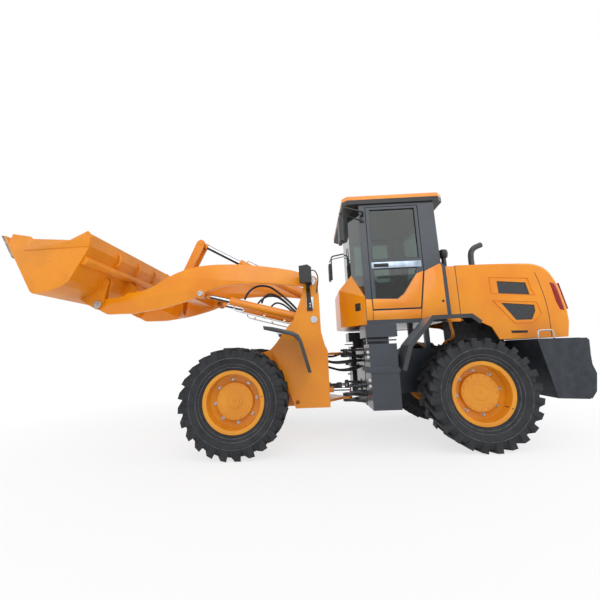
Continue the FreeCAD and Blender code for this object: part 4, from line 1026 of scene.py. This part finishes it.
def inflate(pad):
    """Blows the cover up as cloth, and holds it to the swell that foam allows."""
    flat = [vertex.co.copy() for vertex in pad.data.vertices]
    cloth = pad.modifiers.new("stuffing", "CLOTH")
    cloth.settings.use_pressure = True
    cloth.settings.uniform_pressure_force = PAD_PRESSURE
    cloth.settings.effector_weights.gravity = 0
    cloth.point_cache.frame_end = PAD_FRAMES
    for step in range(1, PAD_FRAMES + 1):
        bpy.context.scene.frame_set(step)
    worked_in(pad)
    bpy.context.scene.frame_set(1)
    for vertex, was in zip(pad.data.vertices, flat):
        moved = vertex.co - was
        if moved.length > SWELL_LIMIT:
            vertex.co = was + moved.normalized() * SWELL_LIMIT


def sew(pad, place, face_way, channels, cross_channels):
    """Presses the sewn lines into the face: channels run along the pad, cross channels over it."""
    middle = place.to_translation()
    along = place.to_3x3() @ Vector((1, 0, 0))
    for vertex in pad.data.vertices:
        arm = vertex.co - middle
        if arm.dot(face_way) > 0:
            nearest = min([abs(arm.y - line) for line in channels]
                          + [abs(arm.dot(along) - line) for line in cross_channels])
            vertex.co -= face_way * CHANNEL_DEPTH * math.exp(-(nearest / CHANNEL_WIDTH) ** 2)


def stuffed(name, node, size, place, face_way, channels, cross_channels=()):
    """A padded cover in place of a soft node."""
    shape = bmesh.new()
    pour(bar(*size, PAD_CORNER, 5), shape, place)
    pad = settle(shape, name, "rear_frame", "seat_vinyl")
    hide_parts(node)
    cover = pad.modifiers.new("cover", "REMESH")
    cover.mode, cover.voxel_size, cover.use_smooth_shade = "VOXEL", VOXEL, True
    worked_in(pad)
    inflate(pad)
    sew(pad, place, face_way, channels, cross_channels)
    smooth = pad.modifiers.new("soft", "SUBSURF")
    smooth.levels = smooth.render_levels = 1
    worked_in(pad)
    for polygon in pad.data.polygons:
        polygon.use_smooth = True
    if not pad.data.materials:
        pad.data.materials.append(seat_vinyl)
    print(name, len(pad.data.polygons), "faces")


# %% Cushion and backrest
LEAN = math.radians(11)
stuffed("seat_cushion_pad", "seat_cushion", (420, 472, 84), stand(-613, 0, 1846), Vector((0, 0, 1)),
        (-0.13, 0.13), (0.06,))
back_place = stand(-848, 0, 2153, -LEAN)
stuffed("seat_backrest_pad", "seat_backrest", (88, 432, 462), back_place,
        back_place.to_3x3() @ Vector((1, 0, 0)), (-0.12, 0.12))

# %% Arm rests, levers and dials
LEVERS = [(-500, 0.15), (-580, 0.05), (-650, -0.05)]
LEVER = [(0, 0), (0, 22), (14, 18), (30, 9), (34, 6), (150, 5), (156, 12), (172, 18), (196, 19), (212, 12),
         (216, 0)]
DIAL = [(0, 0), (0, 24), (8, 24), (9, 21), (6, 20), (6, 0)]
DASH_SLOPE = -0.9
fittings = bmesh.new()
for side in SIDES.values():
    pour(bar(300, 52, 34, 12, 4), fittings, stand(-620, side * 285, 2050))
    pour(bar(34, 30, 180, 6, 3), fittings, stand(-745, side * 285, 1950))
pour(bar(300, 110, 420, 14, 3), fittings, stand(-560, -400, 1645))
for x, tilt in LEVERS:
    pour(turned(LEVER, 24), fittings, stand(x, -400, 1850, tilt))
for y in (-60, 0, 60):
    pour(turned(DIAL, 28), fittings, stand(-262, y, 2010, DASH_SLOPE))
settle(fittings, "cab_fittings", "rear_frame", "black_plastic")
print("seat and levers fitted")

# %% [markdown]
# ## Lamps, mirrors, wiper and air vent
# These hang on the outside of the cab and the tower. Each is a few bars,
# plates and bent rods, so each is poured from those parts.

# %% Work lamps
LAMP_FACE_X, LAMP_Y, LAMP_Z = 575, 752, 2022
BEZEL_BARS = [(0, 92, 128, 8), (0, -92, 128, 8), (60, 0, 8, 188), (-60, 0, 8, 188), (0, 0, 116, 3)]
LAMP_CABLE = [(432, 700, 2080), (392, 660, 2096), (352, 600, 2050), (345, 560, 1980), (360, 538, 1900),
              (372, 534, 1830)]
LAMP_FOOT, LAMP_FOOT_BOLTS = [(415, 1632), (415, 1776), (503, 1776), (503, 1632)], (1655, 1690)
CABLE_RADIUS = 7
lenses, bezels, feet = bmesh.new(), bmesh.new(), bmesh.new()
for side in SIDES.values():
    pour(bar(6, 116, 176, 10, 4), lenses, stand(LAMP_FACE_X, side * LAMP_Y, LAMP_Z))
settle(lenses, "work_lamp_lenses", "front_frame", "glass")
for side in SIDES.values():
    for y, z, depth, height in BEZEL_BARS:
        pour(bar(8, depth, height, 1.5), bezels, stand(LAMP_FACE_X - 1, side * (LAMP_Y + y), LAMP_Z + z))
    pour(pipe([spot(x, side * y, z) for x, y, z in LAMP_CABLE], CABLE_RADIUS), bezels)
settle(bezels, "work_lamp_bezels", "front_frame", "black_plastic")
for side in SIDES.values():
    pour(plate(LAMP_FOOT, side * 530, 5), feet)
    for z in LAMP_FOOT_BOLTS:
        pour(hexagon(19, 10), feet, facing(459, 535, z, side))
settle(feet, "work_lamp_feet", "front_frame", "chrome", zinc_plate)
print("lamps at", LAMP_Z, "mm")

# %% Mirror rods and wiper
MIRROR_ROD = [(-240, 703, 2684), (-150, 770, 2688), (20, 900, 2692), (66, 970, 2692), (72, 985, 2660)]
WIPER_ARM = [(-104, 250, 1925), (-84, 245, 1930), (-84, 200, 2050), (-92, 120, 2270)]
stays = bmesh.new()
for side in SIDES.values():
    pour(pipe([spot(x, side * y, z) for x, y, z in MIRROR_ROD], 7), stays)
    for z in (2684, 2764):
        pour(bar(50, 12, 36, 3), stays, stand(-240, side * 705, z))
pour(pipe([spot(*point) for point in WIPER_ARM], 6), stays)
pour(bar(10, 14, 520, 3), stays, stand(-99, 118, 2275, 0.04, "X"))
pour(disc(20, 22, (4, 6), 24), stays, stand(-112, 250, 1927, math.pi / 2))
settle(stays, "mirror_stays_and_wiper", "rear_frame", "black_plastic")
print("mirror stays and wiper fitted")

# %% Air vent on the nose
NOSE_TURN = math.atan2(0.59, 0.81)  # the nose panel's normal, seen from above
vents = bmesh.new()
for side in SIDES.values():
    seat = stand(-128, side * 595, 1612, side * NOSE_TURN, "Z")
    pour(bar(6, 92, 96, 3), vents, seat)
    for y in (-20, 20):
        for z in (-28, 0, 28):
            pour(bar(6, 28, 17, 2.5), vents, seat @ Matrix.Translation((4 * MM, y * MM, z * MM)))
settle(vents, "nose_air_vents", "rear_frame", "black_plastic")
print("nose vents fitted")

# %% [markdown]
# ## Steps, struts and bolts
# The box on each side is also the ladder: its front has grip slots low down,
# two pressed bands, and bolt pairs on the mounting plate. A yellow strut, bent
# from round bar, holds each rear guard.

# %% Tank trim
TANK_FACE_Y = 930
GRIP_SLOTS = range(-345, -165, 22)
UPPER_BAND = [(-105, 1180), (-105, 1196), (-470, 1196), (-470, 1180)]
LOWER_BAND = [(-100, 846), (-100, 900), (-470, 900), (-470, 846)]
TANK_BOLT_X, TANK_BOLT_LEVELS = -148, (1063, 1009, 762, 702)
GUARD_STRUT = [(-1180, 690, 1400), (-1184, 690, 1350), (-1205, 690, 1210), (-1210, 600, 1170), (-1210, 420, 1150),
               (-1210, 330, 1100)]
trim, bolts, struts = bmesh.new(), bmesh.new(), bmesh.new()
for side in SIDES.values():
    for x in GRIP_SLOTS:
        pour(bar(9, 5, 24, 2), trim, stand(x, side * (TANK_FACE_Y + 1), 494))
    pour(plate(UPPER_BAND, side * TANK_FACE_Y, 4), trim)
    pour(plate(LOWER_BAND, side * TANK_FACE_Y, 7, 3), trim)
    for z in TANK_BOLT_LEVELS:
        pour(hexagon(24, 10, 1.5), bolts, facing(TANK_BOLT_X, TANK_FACE_Y, z, side))
        pour(disc(17, 4), bolts, facing(TANK_BOLT_X, TANK_FACE_Y - 1, z, side))
    pour(pipe([spot(x, side * y, z) for x, y, z in GUARD_STRUT], 17, 4), struts)
settle(trim, "tank_trim", "rear_frame", "dark_paint")
settle(bolts, "tank_bolts", "rear_frame", "chrome", zinc_plate)
settle(struts, "guard_struts", "rear_frame", "body_paint")
print("tanks and struts finished")

# %% [markdown]
# ## Hoses across the articulation
# Steering, brake and loader circuits cross the middle pin as a bundle of hoses with slack in them. Each route bows a
# little, and the hoses ride on neither frame.

# %% The bundle
BUNDLE = [
    [(268, 70, 1020), (180, 90, 1010), (80, 120, 1050), (-40, 130, 1060), (-120, 120, 1020), (-204, 110, 985)],
    [(268, 40, 880), (190, 60, 860), (90, 150, 830), (-40, 160, 830), (-130, 140, 850), (-204, 130, 880)],
    [(268, -70, 1020), (180, -90, 1005), (80, -125, 1040), (-40, -135, 1050), (-120, -120, 1015), (-204, -110, 985)],
    [(268, -40, 880), (190, -60, 855), (90, -150, 820), (-40, -160, 825), (-130, -140, 850), (-204, -130, 880)],
    [(268, 130, 960), (190, 170, 935), (90, 200, 930), (-40, 200, 940), (-130, 180, 950), (-204, 150, 950)],
    [(268, -130, 960), (190, -170, 935), (90, -200, 930), (-40, -200, 940), (-130, -180, 950), (-204, -150, 950)]]
for number, route in enumerate(BUNDLE):
    name = f"articulation_hose_{number + 1}"
    hose_lengths[name] = hose(name, "front_frame", "rear_frame", route)
print({name: round(length, 3) for name, length in hose_lengths.items()})

# %% [markdown]
# ## Bucket wear
# Gravel scratches the bucket before any other sheet. The shell keeps its
# enamel, in broad faded patches, and gets a pattern of long scratches over it
# that shows brown primer and dust.

# %% Scuffed enamel
SCRATCH_SPACING = 22
scuffed_enamel, shader, place = start_material("yellow_enamel_scuffed", 0.45)
paint = colour_by_noise(scuffed_enamel, shader, place, 500, "#D98410", "#F0930C", 0.3, 0.6)
stretch = add_node(scuffed_enamel, "ShaderNodeMapping", {"Scale": (1.0, 6.0, 0.6)}, {"Vector": place})
scratches = add_node(scuffed_enamel, "ShaderNodeTexNoise", {"Scale": 1 / (SCRATCH_SPACING * MM), "Detail": 5.0},
                     {"Vector": stretch.outputs["Vector"]})
bare = add_node(scuffed_enamel, "ShaderNodeMapRange", {"From Min": 0.62, "From Max": 0.72, "To Max": 0.5},
                {"Value": scratches.outputs["Fac"]})
colour_over(scuffed_enamel, shader, paint, "#8A6A45", bare.outputs["Result"])
bump_by_noise(scuffed_enamel, shader, place, 30, 0.5, 0.5)
for name in ("bucket_shell", "bucket_brackets"):
    dress(name, scuffed_enamel)
print("bucket worn")

# %% [markdown]
# ## Bucket back and rim
# Three bent eyes on the back take a sling when the bucket is lifted off. A
# folded bar stiffens the back between the side plates, and a doubling band
# follows the top of each side plate, where the pile wears it thin.

# %% Weld on eyes, bar and bands
LIFTING_EYE = [(3004, 2500), (2966, 2472), (2948, 2400), (2972, 2326), (3070, 2276), (3056, 2304), (3000, 2345),
               (2978, 2400), (2988, 2448), (3004, 2466)]
BACK_BAR = [(3056, 2300), (3026, 2270), (3022, 2222), (3050, 2196), (3110, 2196), (3110, 2210)]
SIDE_BAND = [(2996, 2402), (3775, 2390), (3722, 2551), (3686, 2520), (3237, 2484), (3060, 2569), (2994, 2520)]
EYE_PLACES, EYE_THICKNESS = (-493, -13, 467), 26
BAR_HALF, BUCKET_SIDE_Y, BAND_THICKNESS = 1008, 1030, 6
welded = bmesh.new()
for y in EYE_PLACES:
    pour(plate(LIFTING_EYE, 0, EYE_THICKNESS, 3), welded, Matrix.Translation((0, y * MM, 0)))
pour(plate(BACK_BAR, 0, 2 * BAR_HALF, 4), welded, Matrix.Translation((0, -BAR_HALF * MM, 0)))
for side in SIDES.values():
    pour(plate(SIDE_BAND, side * BUCKET_SIDE_Y, BAND_THICKNESS, 1.5), welded)
settle(welded, "bucket_eyes_and_bands", "bucket", "body_paint", scuffed_enamel)
print("eyes, bar and bands welded on")

# %% [markdown]
# ## Floor, light and camera
# The floor holds the machine's shadow but is seen as plain white: Light Path
# tells a ray of light from a ray that only looks, and where a looking ray
# meets the lit floor it is shown white. Three broad lamps stand for a cloudy
# sky: one above the near side, one ahead of the bucket and one behind.

# %% White when looked at
def white_when_seen(owner, lit, output, share=None):
    """Shows white to camera, glossy and transmission rays, in a share where one is given."""
    path = add_node(owner, "ShaderNodeLightPath")
    seen = path.outputs["Is Camera Ray"]
    for kind in ("Is Glossy Ray", "Is Transmission Ray"):
        either = add_node(owner, "ShaderNodeMath", {"operation": "MAXIMUM"}, {0: seen, 1: path.outputs[kind]})
        seen = either.outputs[0]
    if share:
        seen = add_node(owner, "ShaderNodeMath", {"operation": "MULTIPLY"}, {0: seen, 1: share}).outputs[0]
    in_world = output.bl_idname == "ShaderNodeOutputWorld"
    white = add_node(owner, "ShaderNodeBackground" if in_world else "ShaderNodeEmission",
                     {"Color": (1, 1, 1, 1), "Strength": 1.0})
    pick = add_node(owner, "ShaderNodeMixShader", links={0: seen, 1: lit.outputs[0], 2: white.outputs[0]})
    owner.node_tree.links.new(pick.outputs[0], output.inputs["Surface"])


print("white for looking rays")

# %% Pale floor
FLOOR_REACH = 60.0
WHITE_BELOW = 0.72        # how much of the seen floor is plain white under the machine
FADE_FROM, FADE_TO = 2.0, 5.5  # metres from the middle over which it turns all white
floor_mesh = bpy.data.meshes.new("floor")
sheet = bmesh.new()
bmesh.ops.create_grid(sheet, x_segments=1, y_segments=1, size=FLOOR_REACH)
sheet.to_mesh(floor_mesh)
sheet.free()
floor = bpy.data.objects.new("floor", floor_mesh)
bpy.context.scene.collection.objects.link(floor)
floor_paint, shader, place = start_material("pale_floor", 0.9)
colour_by_noise(floor_paint, shader, place, 2500, "#F6F6F6", "#FAFAFA")
reach = add_node(floor_paint, "ShaderNodeVectorMath", {"operation": "LENGTH"}, {"Vector": place})
fade = add_node(floor_paint, "ShaderNodeMapRange",
                {"From Min": FADE_FROM, "From Max": FADE_TO, "To Min": WHITE_BELOW, "To Max": 1.0},
                {"Value": reach.outputs["Value"]})
white_when_seen(floor_paint, shader, floor_paint.node_tree.nodes["Material Output"], fade.outputs["Result"])
floor_mesh.materials.append(floor_paint)
print("floor", 2 * FLOOR_REACH, "m across")

# %% Sky
SKY_STRENGTH = 0.55
world = bpy.data.worlds.new("sky")
bpy.context.scene.world = world
world.use_nodes = True
plain_sky = world.node_tree.nodes["Background"]
plain_sky.inputs["Color"].default_value = linear("#F4F6FA")
plain_sky.inputs["Strength"].default_value = SKY_STRENGTH
white_when_seen(world, plain_sky, world.node_tree.nodes["World Output"])
print("sky strength", SKY_STRENGTH)

# %% Lamps
LAMPS = {"near_side": ((-1.0, 7.0, 7.5), 9.0, 380), "ahead": ((8.0, 2.0, 6.0), 6.0, 190),
         "behind": ((-8.0, 1.0, 5.0), 6.0, 170)}
AIM = Vector((-0.4, 0.0, 1.3))
for name, (stands_at, width, power) in LAMPS.items():
    lamp_data = bpy.data.lights.new(name, "AREA")
    lamp_data.size = width
    lamp_data.energy = power
    lamp = bpy.data.objects.new(name, lamp_data)
    aimed = (AIM - Vector(stands_at)).to_track_quat("-Z", "Y").to_matrix().to_4x4()
    lamp.matrix_world = Matrix.Translation(stands_at) @ aimed
    bpy.context.scene.collection.objects.link(lamp)
print("lamps", list(LAMPS))

# %% Camera
CAMERA_SPOT = (-0.229, 4.37, 1.097)
HEADING = math.pi + 0.027
PITCH = 0.167
ROLL = -0.039
SENSOR_WIDTH, FOCAL_LENGTH = 36, 18.43
camera_data = bpy.data.cameras.new("camera")
camera_data.sensor_width = SENSOR_WIDTH
camera_data.lens = FOCAL_LENGTH
camera = bpy.data.objects.new("camera", camera_data)
camera.matrix_world = (Matrix.Translation(CAMERA_SPOT) @ Matrix.Rotation(HEADING, 4, "Z")
                       @ Matrix.Rotation(math.pi / 2 + PITCH, 4, "X") @ Matrix.Rotation(ROLL, 4, "Z"))
bpy.context.scene.collection.objects.link(camera)
bpy.context.scene.camera = camera
bpy.context.scene.view_settings.view_transform = "Standard"
print("camera at", CAMERA_SPOT)
